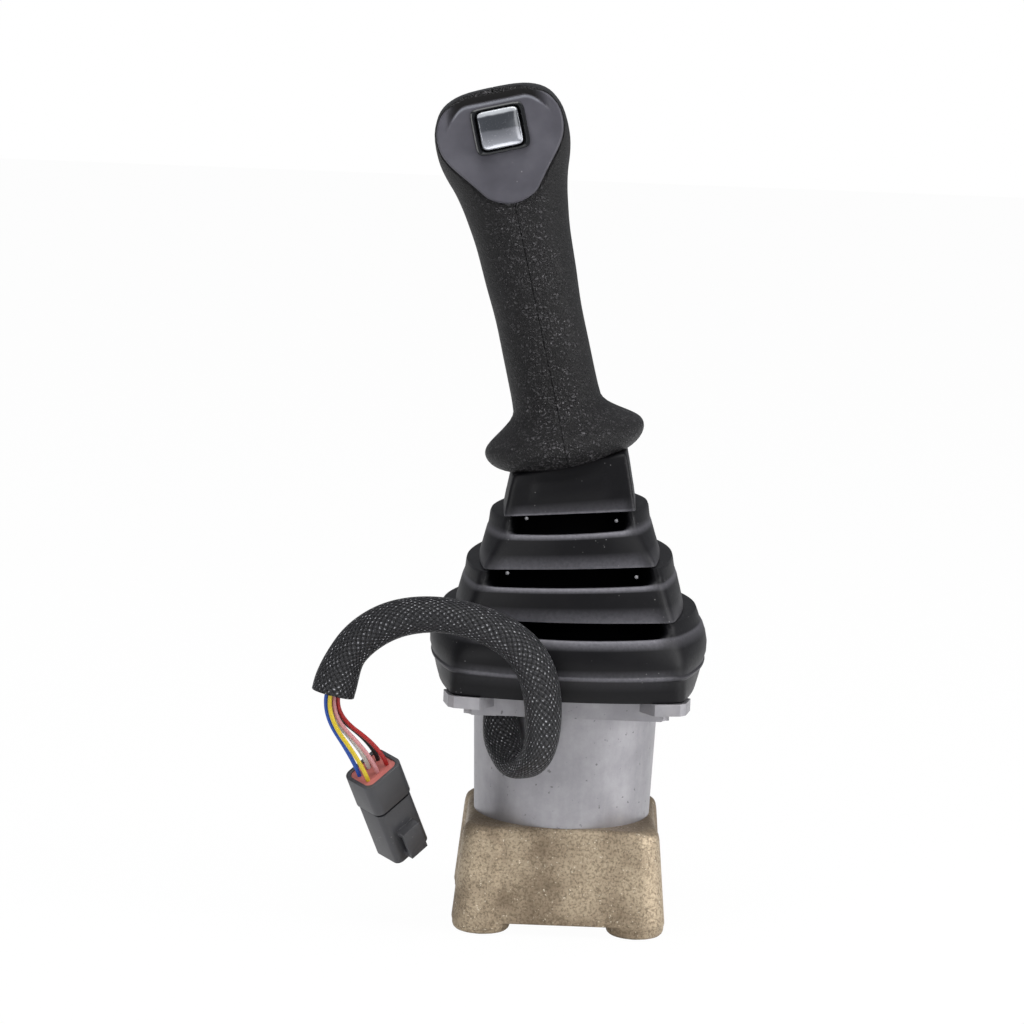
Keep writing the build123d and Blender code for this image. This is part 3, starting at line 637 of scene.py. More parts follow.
# %% Grip shell
# The round hand rest: height, half width and half depth in millimetres.
rest_rows = [
    (6.0, 14.0, 14.0), (11.9, 14.0, 14.0), (12.2, 16.0, 16.0), (12.1, 21.0, 21.0),
    (12.5, 24.8, 24.8), (13.8, 28.2, 28.2), (15.9, 31.2, 31.2), (18.4, 33.1, 33.1),
    (20.9, 33.7, 33.7), (23.1, 33.0, 33.0), (25.1, 31.0, 31.0), (27.5, 27.6, 27.8),
    (30.6, 23.2, 23.6), (34.5, 19.3, 19.9),
]
handle_rows = [(height, width, -depth, depth, 2.0, 2.0) for height, width, depth in rest_rows]
# Height, half width, front, back, and squareness of the front and of the back.
handle_rows += [
    (40.0, 18.3, -18.9, 18.9, 2.05, 2.0), (60.0, 18.1, -18.6, 18.6, 2.1, 2.1),
    (75.0, 18.1, -18.8, 18.8, 2.1, 2.1), (90.0, 19.0, -19.5, 19.5, 2.15, 2.1),
    (106.0, 19.8, -20.0, 20.2, 2.15, 2.15), (116.0, 21.0, -21.0, 21.0, 2.15, 2.2),
    (123.0, 22.1, -21.7, 21.8, 2.15, 2.25), (130.0, 23.7, -22.3, 22.4, 2.25, 2.3),
    (137.0, 26.0, -22.8, 22.8, 2.5, 2.35), (143.5, 27.4, -23.2, 23.0, 3.1, 2.4),
    (150.5, 27.6, -22.8, 22.8, 4.4, 2.4), (156.5, 26.9, -21.8, 22.0, 5.4, 2.4),
    (161.0, 25.2, -20.4, 20.4, 5.4, 2.4), (164.5, 22.9, -18.9, 18.0, 4.8, 2.35),
    (167.0, 19.8, -17.4, 14.6, 4.0, 2.3), (168.8, 15.8, -15.8, 9.8, 3.2, 2.2),
    (169.9, 11.5, -14.6, 3.0, 2.7, 2.1), (170.3, 6.5, -12.6, -4.0, 2.3, 2.0),
]
ring_spacing = 2.5
handle_steps = [
    max(2, round((high[0] - low[0]) / ring_spacing)) for low, high in zip(handle_rows, handle_rows[1:])
]
handle_points = 96


def handle_ring(row):
    height, half_width, front, back, front_squareness, back_squareness = row
    middle = (front + back) / 2
    half_depth = (back - front) / 2
    ring = []
    for step in range(handle_points):
        angle = 2 * pi * (step + 0.5) / handle_points
        squareness = front_squareness if sin(angle) < 0 else back_squareness
        side, depth = superellipse(angle, half_width, half_depth, squareness)
        ring.append(in_grip(side, middle + depth, height))
    return ring


handle_table = smooth_rows(handle_rows, handle_steps)
handle = shell("handle", [handle_ring(row) for row in handle_table])
print("handle faces", len(handle.data.polygons))

# %% Cut the head flat for its panel
panel_recess = 0.9
seam_bevel = 0.35
hood_height = 158.0
cut(handle, on_panel(0, 0, -panel_recess), panel_out)
for name, keep_front in (("grip_left", False), ("grip_right", True)):
    half = copy_of(handle, name)
    cut(half, in_grip(0, 0, 0), grip_side, keep_front)
    mesh = edit(half)
    bpy.ops.mesh.select_all(action="DESELECT")
    for face in mesh.faces:
        off_seam = abs((face.calc_center_median() - grip_foot).dot(grip_side))
        faces_seam = abs(face.normal.dot(grip_side)) > 0.999
        face.select_set(faces_seam and off_seam < 1e-5)
    bpy.ops.mesh.region_to_loop()
    bpy.ops.mesh.bevel(offset=seam_bevel * MM, segments=2, affect="EDGES")
    leave_edit()
    dress(half, 50, grip_leather)
    half.data.materials.append(plastics["hood_plastic"])
    for face in half.data.polygons:
        if (face.center - grip_foot).dot(grip_up) > hood_height * MM:
            face.material_index = 1
    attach(half, "lever")
bpy.data.objects.remove(handle)
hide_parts("grip_left_half")
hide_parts("grip_right_half")

# %% [markdown]
# ## The face panel
# A smooth satin plate with the outline of a plectrum closes the front of the head. It rolls over at its
# rim into a fine groove. Above the switch the plate dips into a scoop, so that the switch's own
# level ends in a crisp upper edge.

# %% The panel's outline
def handle_at(height):
    """The handle's row of sizes at a height."""
    for low, high in zip(handle_table, handle_table[1:]):
        if low[0] <= height <= high[0] and high[0] > low[0]:
            share = (height - low[0]) / (high[0] - low[0])
            return [a + (b - a) * share for a, b in zip(low, high)]
    return handle_table[-1]


panel_margin = 0.9
panel_tip = -31.1
tip_curve = 0.035


def inside_head(side, up):
    """Whether a point on the panel's plane lies inside the head, less a margin at the top."""
    if up < panel_tip + tip_curve * side * side:
        return False
    height = switch_height + up * cos(panel_lean)
    depth = switch_depth + up * sin(panel_lean)
    if height > handle_rows[-1][0] - panel_margin:
        return False
    _, half_width, front, back, squareness, _ = handle_at(height)
    half_depth = (back - front) / 2
    share = abs((switch_side + side) / half_width) ** squareness
    share += abs((depth - (front + back) / 2) / half_depth) ** squareness
    return share < 1


def panel_reach(angle):
    """How far the panel goes from the switch's centre in one direction."""
    low = 5.0
    high = 60.0
    for _ in range(30):
        middle = (low + high) / 2
        if inside_head(middle * cos(angle), middle * sin(angle)):
            low = middle
        else:
            high = middle
    return low - panel_margin


panel_columns = 144
panel_angles = [2 * pi * (step + 0.5) / panel_columns for step in range(panel_columns)]
panel_reaches = [panel_reach(angle) for angle in panel_angles]
print("panel reaches", round(min(panel_reaches), 1), "to", round(max(panel_reaches), 1), "mm")

# %% The panel's relief
panel_stand = 1.2
crown_height = 0.8
crown_radius = 40.0
scoop_depth = 2.6
lower_drop = 0.6
surround_top = 11.4
surround_half = 18.5
corner_from = 11.5
corner_curve = 0.085


def past_edge(side, up):
    """How far a point lies above the edge over the switch, which drops towards its ends."""
    beyond = max(abs(side) - corner_from, 0.0)
    return up - (surround_top - corner_curve * beyond * beyond)


def within_surround(side, before, after):
    """1 over the middle of the surround's width and 0 past its ends."""
    return 1 - smooth_step(surround_half - before, surround_half + after, abs(side))


def panel_height(side, up):
    """How far the panel's surface stands out at a point."""
    scoop = smooth_step(0.0, 0.9, past_edge(side, up)) * within_surround(side, 1.5, 4.0)
    crown = crown_height * (1 - (hypot(side, up) / crown_radius) ** 2)
    lower_edge = lower_drop * smooth_step(6.0, 0.0, up + 9.0)
    return panel_stand + crown - scoop_depth * scoop - lower_edge


def panel_marks(side, up):
    """How much painted shade lies under the hood over the switch, and how much painted highlight on the
    edge above it.
    """
    beyond = past_edge(side, up)
    hood_shade = smooth_step(0.1, 1.1, beyond) * within_surround(side, 3.0, 4.5)
    edge_highlight = max(1 - abs(beyond + 0.45) / 0.8, 0.0) * within_surround(side, 2.0, 1.0)
    return hood_shade, edge_highlight


print("panel stands", round(panel_height(0.0, 0.0), 2), "mm out at the switch")

# %% Face panel
window_half = (9.6, 8.7)
window_squareness = 9.0
window_bottom = -1.4
face_rings = 30
# How far each ring of the rim lies outside the face, and how far below it.
rim_rings = [(0.45, 0.35), (0.7, 1.0)]
skirt_spread = 0.7
skirt_bottom = -4.0
panel_rings = [[] for _ in range(1 + face_rings + len(rim_rings) + 1)]
panel_points = []
for angle, reach in zip(panel_angles, panel_reaches):
    inner = Vector(superellipse(angle, *window_half, window_squareness))
    outer = Vector((reach * cos(angle), reach * sin(angle)))
    spots = [(inner, window_bottom)]
    for ring in range(face_rings):
        spot = inner.lerp(outer, ring / (face_rings - 1))
        spots.append((spot, panel_height(*spot)))
        panel_points.append((on_panel(*spot, spots[-1][1]), *panel_marks(*spot)))
    way = outer.normalized()
    top = panel_height(*outer)
    spots += [(outer + way * spread, top - drop) for spread, drop in rim_rings]
    spots.append((outer + way * skirt_spread, skirt_bottom))
    for ring, (spot, level) in zip(panel_rings, spots):
        ring.append(on_panel(*spot, level))
panel = shell("panel", panel_rings, close_start=False, close_end=False)
places, hood_shades, crease_highlights = zip(*panel_points)
# The panel's marks carry painted shade under the hood and a painted highlight on the edge over the
# switch.
mark_points(panel, places, {"hood_shade": hood_shades, "crease_highlight": crease_highlights})
dress(panel, 35, panel_plastic)
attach(panel, "lever")
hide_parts("face_panel")
print("panel faces", len(panel.data.polygons))

# %% [markdown]
# ## The switch
# A black rounded frame stands a little proud of the panel, most at its lower edge, and holds a dished
# silver button. The frame is a rounded square ring that is extruded and pulled in; the button is a
# rounded tablet whose face is pressed in.

# %% Switch frame
frame_tilt = 0.075
switch_points = 96
switch_squareness = 8.0
dish_half = (9.0, 8.2)


def switch_ring(half_x, half_y, out, slope=frame_tilt, dish=0.0):
    """A rounded square round the switch's centre, tilted by its slope and sunk by its dish."""
    ring = []
    for step in range(switch_points):
        angle = 2 * pi * (step + 0.5) / switch_points
        x, y = superellipse(angle, half_x, half_y, switch_squareness)
        bowl = dish * (1 - (x / dish_half[0]) ** 2) * (1 - (y / dish_half[1]) ** 2)
        ring.append(on_panel(x, y, out - bowl - slope * y))
    return ring


frame_rings = [
    switch_ring(11.0, 9.5, -2.6, slope=0.0),
    switch_ring(11.3, 9.8, 2.5),
    switch_ring(11.1, 9.6, 3.1),
    switch_ring(10.5, 9.0, 3.4),
    switch_ring(9.9, 8.9, 3.3),
    switch_ring(9.3, 8.5, 2.2),
    switch_ring(9.0, 8.35, -4.5, slope=0.0),
]
switch_frame = shell("switch_frame", frame_rings, close_start=False)
dress(switch_frame, 40, plastics["bezel_plastic"])
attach(switch_frame, "lever")
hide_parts("switch_body")
print("frame faces", len(switch_frame.data.polygons))

# %% Button
dish_depth = 1.1
button_sides = [(8.5, 7.9, -1.4), (8.55, 7.95, 3.0), (8.4, 7.8, 3.45), (8.1, 7.5, 3.65)]
button_face = [(7.7, 7.1), (6.4, 5.8), (4.8, 4.3), (2.4, 2.1), (0.6, 0.5)]
button_rings = [switch_ring(*sizes) for sizes in button_sides]
button_rings += [switch_ring(*half, 3.6, dish=dish_depth) for half in button_face]
button = shell("button", button_rings)


def silver_lacquer(name):
    """Silver lacquer over a dished face, with painted shade growing upwards and deepest in the upper
    third of the dish, and a painted highlight on the rim above it.
    """
    finish = Finish(name)
    cloud = finish.noise(90.0, 3.0, 0.5)
    dust = finish.noise(1400.0, 2.0, 0.6).above(0.62, 0.72)
    x, _, z = finish.axes(finish.places)
    side = x - switch_centre.x
    level = z - switch_centre.z - side * 0.22 + (cloud - 0.5) * 0.0016
    dish = level.above(-0.0005, 0.0006) * (1.0 - level.above(0.0058, 0.0068))
    # Painted shade grows upwards over the face, deepest in a band over the upper dish.
    fade = level.above(-0.0080, 0.0)
    colour = finish.blend_colours(fade, (0.36, 0.37, 0.41), (0.15, 0.155, 0.175))
    colour = finish.blend_colours(dish, colour, (0.055, 0.06, 0.07))
    # Painted highlight along the top of the rim.
    rim_highlight = level.above(0.0062, 0.0070)
    colour = finish.blend_colours(rim_highlight, colour, (0.55, 0.57, 0.60))
    shine = 0.24 + (cloud - 0.5) * 0.10 + dust * 0.2
    return finish.surface(colour, shine, metallic=0.35, coat=0.6)


dress(button, 45, silver_lacquer("silver_lacquer"))
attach(button, "button")
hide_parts("switch_button")
print("button faces", len(button.data.polygons))

# %% [markdown]
# ## The rubber boot
# Seen from above the boot is a square with bowed sides. Three pleats step in towards the neck. At the
# front and the back the folds open into deep slots that stop short of the corners; at the sides they
# close to a thin line. One table of levels drives every ring, and the slots are a depth added to it.

# %% Boot levels
flange_top = 97.0
# Height over the flange, half width at the corners and at mid side, and where there is a slot, its
# depth and its drop. A depth under 0 is the raised bare panel on the front of the neck.
boot_levels = [
    (1.2, 44.6, 50.6), (0.1, 45.2, 51.4), (0.0, 47.0, 53.2), (0.9, 47.6, 53.9),
    (5.0, 47.4, 55.2), (9.3, 47.2, 56.3), (10.2, 47.9, 57.2), (10.9, 47.9, 57.4),
    (11.6, 47.2, 57.0), (14.5, 47.0, 57.9), (18.0, 46.5, 58.0), (22.0, 45.2, 57.2),
    (25.0, 44.0, 56.1), (26.0, 43.5, 55.5, 0.2, 0.1), (26.4, 43.3, 55.1, 1.2, 0.4),
    (27.0, 43.1, 54.7, 3.6, 1.6), (28.2, 42.7, 54.3, 8.5, 3.8), (29.6, 42.3, 53.8, 13.0, 5.0),
    (30.8, 41.8, 53.3, 15.5, 3.6), (31.4, 41.6, 53.0, 15.8, 0.6), (31.8, 41.3, 49.6, 12.4, 0.0),
    (31.7, 41.5, 47.7, 6.0, 0.0), (31.7, 42.0, 47.4, 1.6, 0.0), (32.0, 42.4, 47.6, 0.2, 0.0),
    (33.0, 42.4, 47.6), (38.0, 40.7, 46.4), (43.5, 38.9, 45.0), (44.8, 38.4, 44.5),
    (45.6, 38.1, 44.2, 0.2, 0.1), (46.0, 37.9, 44.0, 1.2, 0.4), (46.7, 37.7, 43.8, 3.4, 1.4),
    (47.9, 37.4, 43.6, 7.2, 3.2), (49.4, 37.0, 43.4, 10.6, 4.2), (50.9, 36.5, 43.2, 12.6, 2.8),
    (51.9, 36.1, 42.9, 12.9, 0.6), (52.3, 34.4, 39.2, 9.4, 0.0), (52.2, 34.4, 37.8, 4.6, 0.0),
    (52.3, 34.8, 37.5, 1.2, 0.0), (52.6, 35.1, 37.7, 0.2, 0.0), (53.6, 35.0, 37.7),
    (58.5, 32.0, 36.3), (64.0, 28.8, 34.8), (65.4, 28.0, 34.4), (66.2, 27.6, 34.1, 0.2, 0.1),
    (66.6, 27.4, 33.9, 1.0, 0.4), (67.3, 27.2, 33.7, 2.8, 1.2), (68.6, 26.9, 33.5, 5.6, 2.8),
    (70.2, 26.5, 33.3, 8.2, 3.4), (71.8, 26.1, 33.1, 9.4, 2.2), (73.0, 25.8, 32.6, 9.4, 0.6),
    (73.5, 25.9, 29.2, 6.6, 0.0), (73.4, 26.2, 27.7, 3.0, 0.0), (73.6, 26.8, 27.4, 0.6, 0.0),
    (74.0, 27.0, 27.6), (75.0, 26.9, 27.5), (79.0, 26.3, 26.9, -0.05, 0.0),
    (80.0, 26.1, 26.7, -0.7, 0.0), (88.0, 24.9, 25.5, -0.7, 0.0),
    (89.0, 24.7, 25.3, -0.05, 0.0), (92.5, 24.0, 24.7), (93.6, 23.4, 24.2), (94.1, 22.4, 23.2),
    (94.0, 15.5, 15.8),
]
boot_levels = [(*level, 0.0, 0.0)[:5] for level in boot_levels]
# Height over the flange, shift to +X and lean in degrees of the boot's own axis.
boot_axis = [
    (0.0, 0.0, 0.0), (26.0, 0.0, 0.3), (45.0, -0.6, 2.5), (66.0, -1.6, 4.2), (74.0, -1.8, 4.6),
    (94.0, -2.6, 13.75),
]
print("boot levels", len(boot_levels))

# %% Boot rings
boot_side_points = 40
slot_reach = 0.90
neck_panel_reach = 0.62
corner_points = 2
upper_lips = (25.8, 45.4, 66.0)
lower_lips = (32.3, 52.9, 74.0, 10.6)


def boot_axis_at(height):
    for low, high in zip(boot_axis, boot_axis[1:]):
        if height <= high[0]:
            straight = (height - low[0]) / (high[0] - low[0])
            share = smooth_step(low[0], high[0], height) * 0.5 + 0.5 * straight
            return [a + (b - a) * share for a, b in zip(low[1:], high[1:])]
    return boot_axis[-1][1:]


def fade_out(reach, step):
    """1 along the middle of a side and 0 beyond this share of its half."""
    along = 2 * step / boot_side_points - 1
    return 1 - smooth_step(reach - 0.12, reach + 0.05, abs(along))


def round_corners(points):
    """Moves the points next to each corner towards their neighbours."""
    moved = []
    for index, (p, q, r) in enumerate(zip(points[-1:] + points[:-1], points, points[1:] + points[:1])):
        if min(index % boot_side_points, -index % boot_side_points) <= corner_points:
            q = [(p[axis] + 2 * q[axis] + r[axis]) / 4 for axis in range(3)]
        moved.append(q)
    return moved


def boot_ring(level):
    height, corner, middle, slot, drop = level
    shift, lean = boot_axis_at(height)
    reach = slot_reach if slot > 0 else neck_panel_reach
    points = []
    for side in range(4):
        c = cos(side * pi / 2)
        s = sin(side * pi / 2)
        slotted = side == 0 or (side == 2 and slot >= 0)
        for step in range(boot_side_points):
            along = 2 * step / boot_side_points - 1
            bow = corner + (middle - corner) * (1 - along * along)
            fade = fade_out(reach, step) if slotted else 0.0
            x = corner * along
            y = slot * fade - bow
            points.append([x * c - y * s, x * s + y * c, height - drop * fade])
    points = round_corners(round_corners(points))
    c = cos(radians(lean))
    s = sin(radians(lean))
    return [Vector((shift + x * c, y, flange_top + z + x * s)) * MM for x, y, z in points]


def boot_marks(level):
    """How deep inside a fold each point of a ring lies, for painted shade, and how near a crease, for a
    painted highlight.
    """
    height, _, _, slot, _ = level
    lip = 0.0
    if slot < 3.0:
        lip = max(lip, *(1 - abs(height - crest) / 1.9 for crest in upper_lips))
    if slot < 0.3:
        lip = max(lip, *(0.8 - abs(height - crest) / 1.8 for crest in lower_lips))
    marks = []
    for side in range(4):
        for step in range(boot_side_points):
            fade = fade_out(slot_reach, step) if side % 2 == 0 else 0.0
            marks.append((smooth_step(0.5, 2.2, slot * fade), lip * (0.35 + 0.65 * fade)))
    return marks


boot_rings = [boot_ring(level) for level in boot_levels]
print("boot rings", len(boot_rings), "points each", len(boot_rings[0]))

# %% [markdown]
# The lever tilts about two crossed pins, one after the other. The boot is made in a lower and an upper
# piece, which share the ring where they meet.

# %% Boot pieces
split_at = 33
lower_rings = slice(0, split_at + 1)
upper_rings = slice(split_at, len(boot_rings))
for name, span, bodies, reach in (
    ("boot_lower", lower_rings, ("housing", "gimbal"), (flange_top + 12.0, flange_top + 50.0)),
    ("boot_upper", upper_rings, ("gimbal", "lever"), (flange_top + 52.0, flange_top + 90.0)),
):
    rings = boot_rings[span]
    piece = shell(name, rings, close_start=False, close_end=False)
    fold_shades, crease_highlights = zip(*(mark for level in boot_levels[span] for mark in boot_marks(level)))
    places = [place for ring in rings for place in ring]
    # The boot's marks carry painted shade in the folds and a painted highlight on the creases.
    mark_points(piece, places, {"fold_shade": fold_shades, "crease_highlight": crease_highlights})
    dress(piece, 38, boot_rubber)
    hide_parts("boot")
    reach[0] * MM
    reach[1] * MM
    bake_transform(piece)
    print(name, "faces", len(piece.data.polygons))

# %% [markdown]
# Short moulding pegs stand in the ends of the upper two folds, where the mould was parted.

# %% Moulding pegs
peg_radius = 0.75
peg_stretch = 1.9
for name, side, depth, height, body in (
    ("peg_upper_left", -19.5, -26.5, 168.2, "lever"),
    ("peg_upper_right", 17.5, -26.5, 168.6, "lever"),
    ("peg_middle_left", -26.5, -36.5, 146.8, "gimbal"),
    ("peg_middle_right", 26.5, -36.5, 147.2, "gimbal"),
):
    clear_selection()
    bpy.ops.mesh.primitive_uv_sphere_add(segments=20, ring_count=12, radius=peg_radius * MM)
    peg = bpy.context.object
    peg.name = name
    for vertex in peg.data.vertices:
        vertex.co.y *= peg_stretch
        vertex.co += Vector((side, depth, height)) * MM
    # The pegs' pale grey rubber is a painted highlight.
    dress(peg, 60, plastics["peg_highlight_rubber"])
    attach(peg, body)
print("pegs made")

# %% [markdown]
# ## The braided sleeve
# The leads leave through the flange in a braided sleeve. It folds tightly under the flange, climbs in
# front of the boot and arches over to the left. The sleeve is a flattened tube that follows a smooth
# line, made as one shell whose rings stand across that line.

# %% Sleeve line
# Millimetres, from the grommet in the flange to the sleeve's open end.
sleeve_points = [
    (-27.5, -35.5, 95.5), (-27.5, -35.5, 80.0), (-21.9, -44.4, 68.0), (-15.7, -54.1, 68.0),
    (-10.0, -64.0, 79.0), (-9.3, -66.0, 97.0), (-13.0, -66.5, 113.5), (-22.0, -66.5, 124.5),
    (-37.0, -65.0, 131.5), (-55.0, -62.0, 134.0), (-72.5, -58.5, 130.5), (-86.0, -55.0, 121.0),
    (-93.5, -52.5, 109.0), (-96.0, -51.5, 97.0),
]


def smooth_line(name, points, bevel=0.0, resolution=12):
    """A NURBS curve with the points, in millimetres, as its control points."""
    curve = bpy.data.curves.new(name, "CURVE")
    curve.dimensions = "3D"
    curve.resolution_u = resolution
    curve.bevel_depth = bevel
    curve.bevel_resolution = 5
    curve.use_fill_caps = bevel > 0
    spline = curve.splines.new("NURBS")
    spline.points.add(len(points) - 1)
    for point, place in zip(spline.points, points):
        point.co = (*(Vector(place) * MM), 1.0)
    spline.order_u = 3
    spline.use_endpoint_u = True
    line = bpy.data.objects.new(name, curve)
    bpy.context.collection.objects.link(line)
    return line


def points_on(name, points, resolution=12):
    """Points along the smooth line, which isn't kept."""
    line = smooth_line(name, points, resolution=resolution)
    mesh = bpy.data.meshes.new_from_object(line)
    places = [vertex.co.copy() for vertex in mesh.vertices]
    bpy.data.meshes.remove(mesh)
    bpy.data.objects.remove(line)
    return places


def evenly(places, count):
    """The same line in equal steps, and its length."""
    lengths = [0.0]
    for a, b in zip(places, places[1:]):
        lengths.append(lengths[-1] + (b - a).length)
    made = []
    index = 0
    for step in range(count + 1):
        target = lengths[-1] * step / count
        while index < len(lengths) - 2 and lengths[index + 1] < target:
            index += 1
        share = (target - lengths[index]) / (lengths[index + 1] - lengths[index])
        made.append(places[index].lerp(places[index + 1], min(share, 1.0)))
    return made, lengths[-1]


sleeve_steps = 220
sleeve_line, sleeve_length = evenly(points_on("sleeve_guide", sleeve_points, 24), sleeve_steps)
print("sleeve length", round(sleeve_length * 1000, 1), "mm")

# %% Sleeve shell
sleeve_columns = 64
sleeve_squareness = 2.5
fold_across = Vector((0.84, 0.54, 0.0))


def sleeve_axes(index):
    """The directions across the sleeve's width and thickness."""
    before = sleeve_line[max(index - 2, 0)]
    after = sleeve_line[min(index + 2, sleeve_steps)]
    along = (after - before).normalized()
    share = index / sleeve_steps
    arch_across = Vector((along.z, 0.0, -along.x)).normalized()
    wide = Vector((1, 0, 0)).lerp(fold_across, smooth_step(0.04, 0.14, share))
    wide = wide.lerp(arch_across, smooth_step(0.26, 0.42, share))
    wide = (wide - along * wide.dot(along)).normalized()
    return wide, along.cross(wide)


def sleeve_size(share):
    """Half width and half thickness in millimetres: narrow at the start and flared at the end."""
    narrow = 1.2 * (1 - smooth_step(0.0, 0.10, share))
    flare = 1.6 * smooth_step(0.90, 0.985, share)
    half_width = 7.6 - narrow + 0.3 * sin(share * 17.0) + flare
    half_thickness = 4.3 + 0.9 * smooth_step(0.85, 1.0, share) + 0.25 * sin(share * 23.0 + 1.0)
    return half_width, half_thickness


sleeve_rings = []
for index, centre in enumerate(sleeve_line):
    wide, thick = sleeve_axes(index)
    half_sizes = sleeve_size(index / sleeve_steps)
    ring = []
    for step in range(sleeve_columns):
        x, y = superellipse(2 * pi * step / sleeve_columns, *half_sizes, sleeve_squareness)
        ring.append(centre + (wide * x + thick * y) * MM)
    sleeve_rings.append(ring)
sleeve = shell("sleeve", sleeve_rings, close_start=False, close_end=False)
print("sleeve faces", len(sleeve.data.polygons))

# %% [markdown]
# The braid is a pattern in the sleeve's own map: around it and along it. Two families of strands cross
# at a slant and pass over and under each other, each of a few fine threads. Painted shade darkens the
# gaps between strands, and painted highlights glint on a few threads.

# %% Sleeve map and braid
def map_tube(piece, rings, columns, length):
    """A map whose first number runs round the tube and whose second runs along it."""
    layer = piece.data.uv_layers.new(name="braid")
    nearest = nearest_to_vertices(piece, [place for ring in rings for place in ring])
    for polygon in piece.data.polygons:
        spots = [divmod(nearest[index], columns) for index in polygon.vertices]
        wraps = max(column for _, column in spots) - min(column for _, column in spots) > columns / 2
        for loop, (row, column) in zip(polygon.loop_indices, spots):
            around = column / columns
            if wraps and column == 0:
                around = 1.0
            layer.data[loop].uv = (around, row / (len(rings) - 1) * length)


map_tube(sleeve, sleeve_rings, sleeve_columns, sleeve_length * 1000)


def hump(number):
    """0 at each whole number and 1 midway."""
    return 1.0 - (number.math("FRACT") - 0.5).math("ABSOLUTE") * 2.0


def braid(name, strands, pitch, threads):
    finish = Finish(name)
    around, along, _ = finish.axes(finish.node("ShaderNodeUVMap", {"uv_map": "braid"}))
    left = around * strands + along / pitch
    right = around * strands - along / pitch
    turns = (left.math("FLOOR") + right.math("FLOOR")) / 2.0
    over = turns.math("FRACT").math("GREATER_THAN", 0.25)
    under = 1.0 - over
    upper = over * hump(left) + under * hump(right)
    ends = over * hump(right) + under * hump(left)
    ridges = over * hump(left * threads) + under * hump(right * threads)
    relief = upper.above(0.05, 0.75) * 0.6 + ends.above(0.0, 0.7) * 0.6 + ridges * 0.15
    glints = finish.noise(900.0, 2.0, 0.6).above(0.50, 0.62)
    # Painted shade: the strands are darker in the gaps between them.
    body = finish.blend_colours(relief.clamp(), (0.0008, 0.0008, 0.0009), (0.024, 0.024, 0.027))
    # Painted highlight: glints on a few threads at the crossings.
    glint_mask = (ends.above(0.55, 0.95) * upper.above(0.35, 0.85) * glints).clamp()
    colour = finish.blend_colours(glint_mask * 0.85, body, (0.55, 0.55, 0.58))
    return finish.surface(colour, 0.36, finish.height(relief, 0.0007), specular=0.28)


wear(sleeve, braid("braided_sleeve", 26, 2.9, 3.0))
modify(sleeve, "SOLIDIFY", thickness=0.7 * MM, offset=-1.0)
soften(sleeve, 60)
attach(sleeve, "housing")
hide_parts("cable_sleeve")
print("sleeve mapped")

# %% [markdown]
# ## The six wires
# The wires leave the sleeve as a bundle and spread to the connector's seal. Each is a smooth curve
# with a round section.

# %% Wires
connector_face = Vector((-78.8, -48.0, 64.9))
connector_right = Vector((0.662, 0.502, 0.530)).normalized()
connector_up = Vector((-0.285, -0.493, 0.822)).normalized()
connector_deep = connector_up.cross(connector_right)
contact_pitch = 5.4
contacts = [(x * contact_pitch, y * contact_pitch / 2) for y in (1, -1) for x in (-1, 0, 1)]
wire_radius = 0.9
bundle_share = 0.42
wire_straight = 9.0
wire_sink = 0.6
sleeve_end = Vector(sleeve_points[-1])
end_way = (sleeve_end - Vector(sleeve_points[-2])).normalized()
bundle_across = (-end_way).cross(connector_right).normalized()
bundle_right = bundle_across.cross(-end_way)


def in_connector(x, y, z):
    """A point in millimetres from the middle of the seal's face, with z out of the connector."""
    return connector_face + connector_right * x + connector_deep * y + connector_up * z


wires = []
for key, (x, y) in zip(wire_coats, contacts):
    start = sleeve_end + bundle_right * (bundle_share * x) + bundle_across * (bundle_share * y)
    route = [
        start,
        start + end_way * wire_straight,
        in_connector(x, y, wire_straight),
        in_connector(x, y, -wire_sink),
    ]
    wire = smooth_line("wire_" + key, route, bevel=wire_radius * MM)
    wear(wire, wire_coats[key])
    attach(wire, "housing")
    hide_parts("wire_" + key)
    wires.append((wire, route))
print("wires", len(wires))

# %% [markdown]
# ## Moulded connector and cast casing
# A copy of a plain solid is made into the finished piece: its edges are rounded for the connector's
# shells, and the casing is remeshed and smoothed until its edges roll over as those of a casting do.

# %% Connector shells
def from_solid(node, name):
    """A copy of a node's mesh, with its flat faces whole again."""
    piece = copy_of(frame["nodes"][node], name)
    edit(piece)
    bpy.ops.mesh.select_all(action="SELECT")
    bpy.ops.mesh.remove_doubles(threshold=0.00001)
    bpy.ops.mesh.dissolve_limited(angle_limit=radians(4))
    bpy.ops.mesh.normals_make_consistent(inside=False)
    leave_edit()
    return piece


connector_pieces = []
for node, edge_width in (("connector_rear", 0.9), ("connector_front", 0.7)):
    piece = from_solid(node, node.replace("connector", "plug"))
    modify(piece, "BEVEL", width=edge_width * MM, segments=3, limit_method="ANGLE",
           angle_limit=radians(40), harden_normals=False)
    dress(piece, 35, plastics["connector_grey"])
    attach(piece, "housing")
    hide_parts(node)
    connector_pieces.append(piece)
print("connector faces", [len(piece.data.polygons) for piece in connector_pieces])

# %% Port casing
casing = from_solid("port_casing", "casing")
modify(casing, "REMESH", mode="VOXEL", voxel_size=0.9 * MM)
modify(casing, "CORRECTIVE_SMOOTH", iterations=6, factor=0.5)
dress(casing, 60, golden_casting)
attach(casing, "housing")
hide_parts("port_casing")
print("casing faces", len(casing.data.polygons))

small_parts = ("connector_seal", "connector_joint_ring", "connector_contacts")
connector_nodes = connector_pieces + [frame["nodes"][name] for name in small_parts]
for index, (wire, route) in enumerate(wires):
    spots = points_on("measure", route)
    length = sum((b - a).length for a, b in zip(spots, spots[1:]))
    extra = {"with_pieces": connector_nodes} if index == 0 else {}
    tuple(route[0] * MM)
    "connector" if index == 0 else "object"

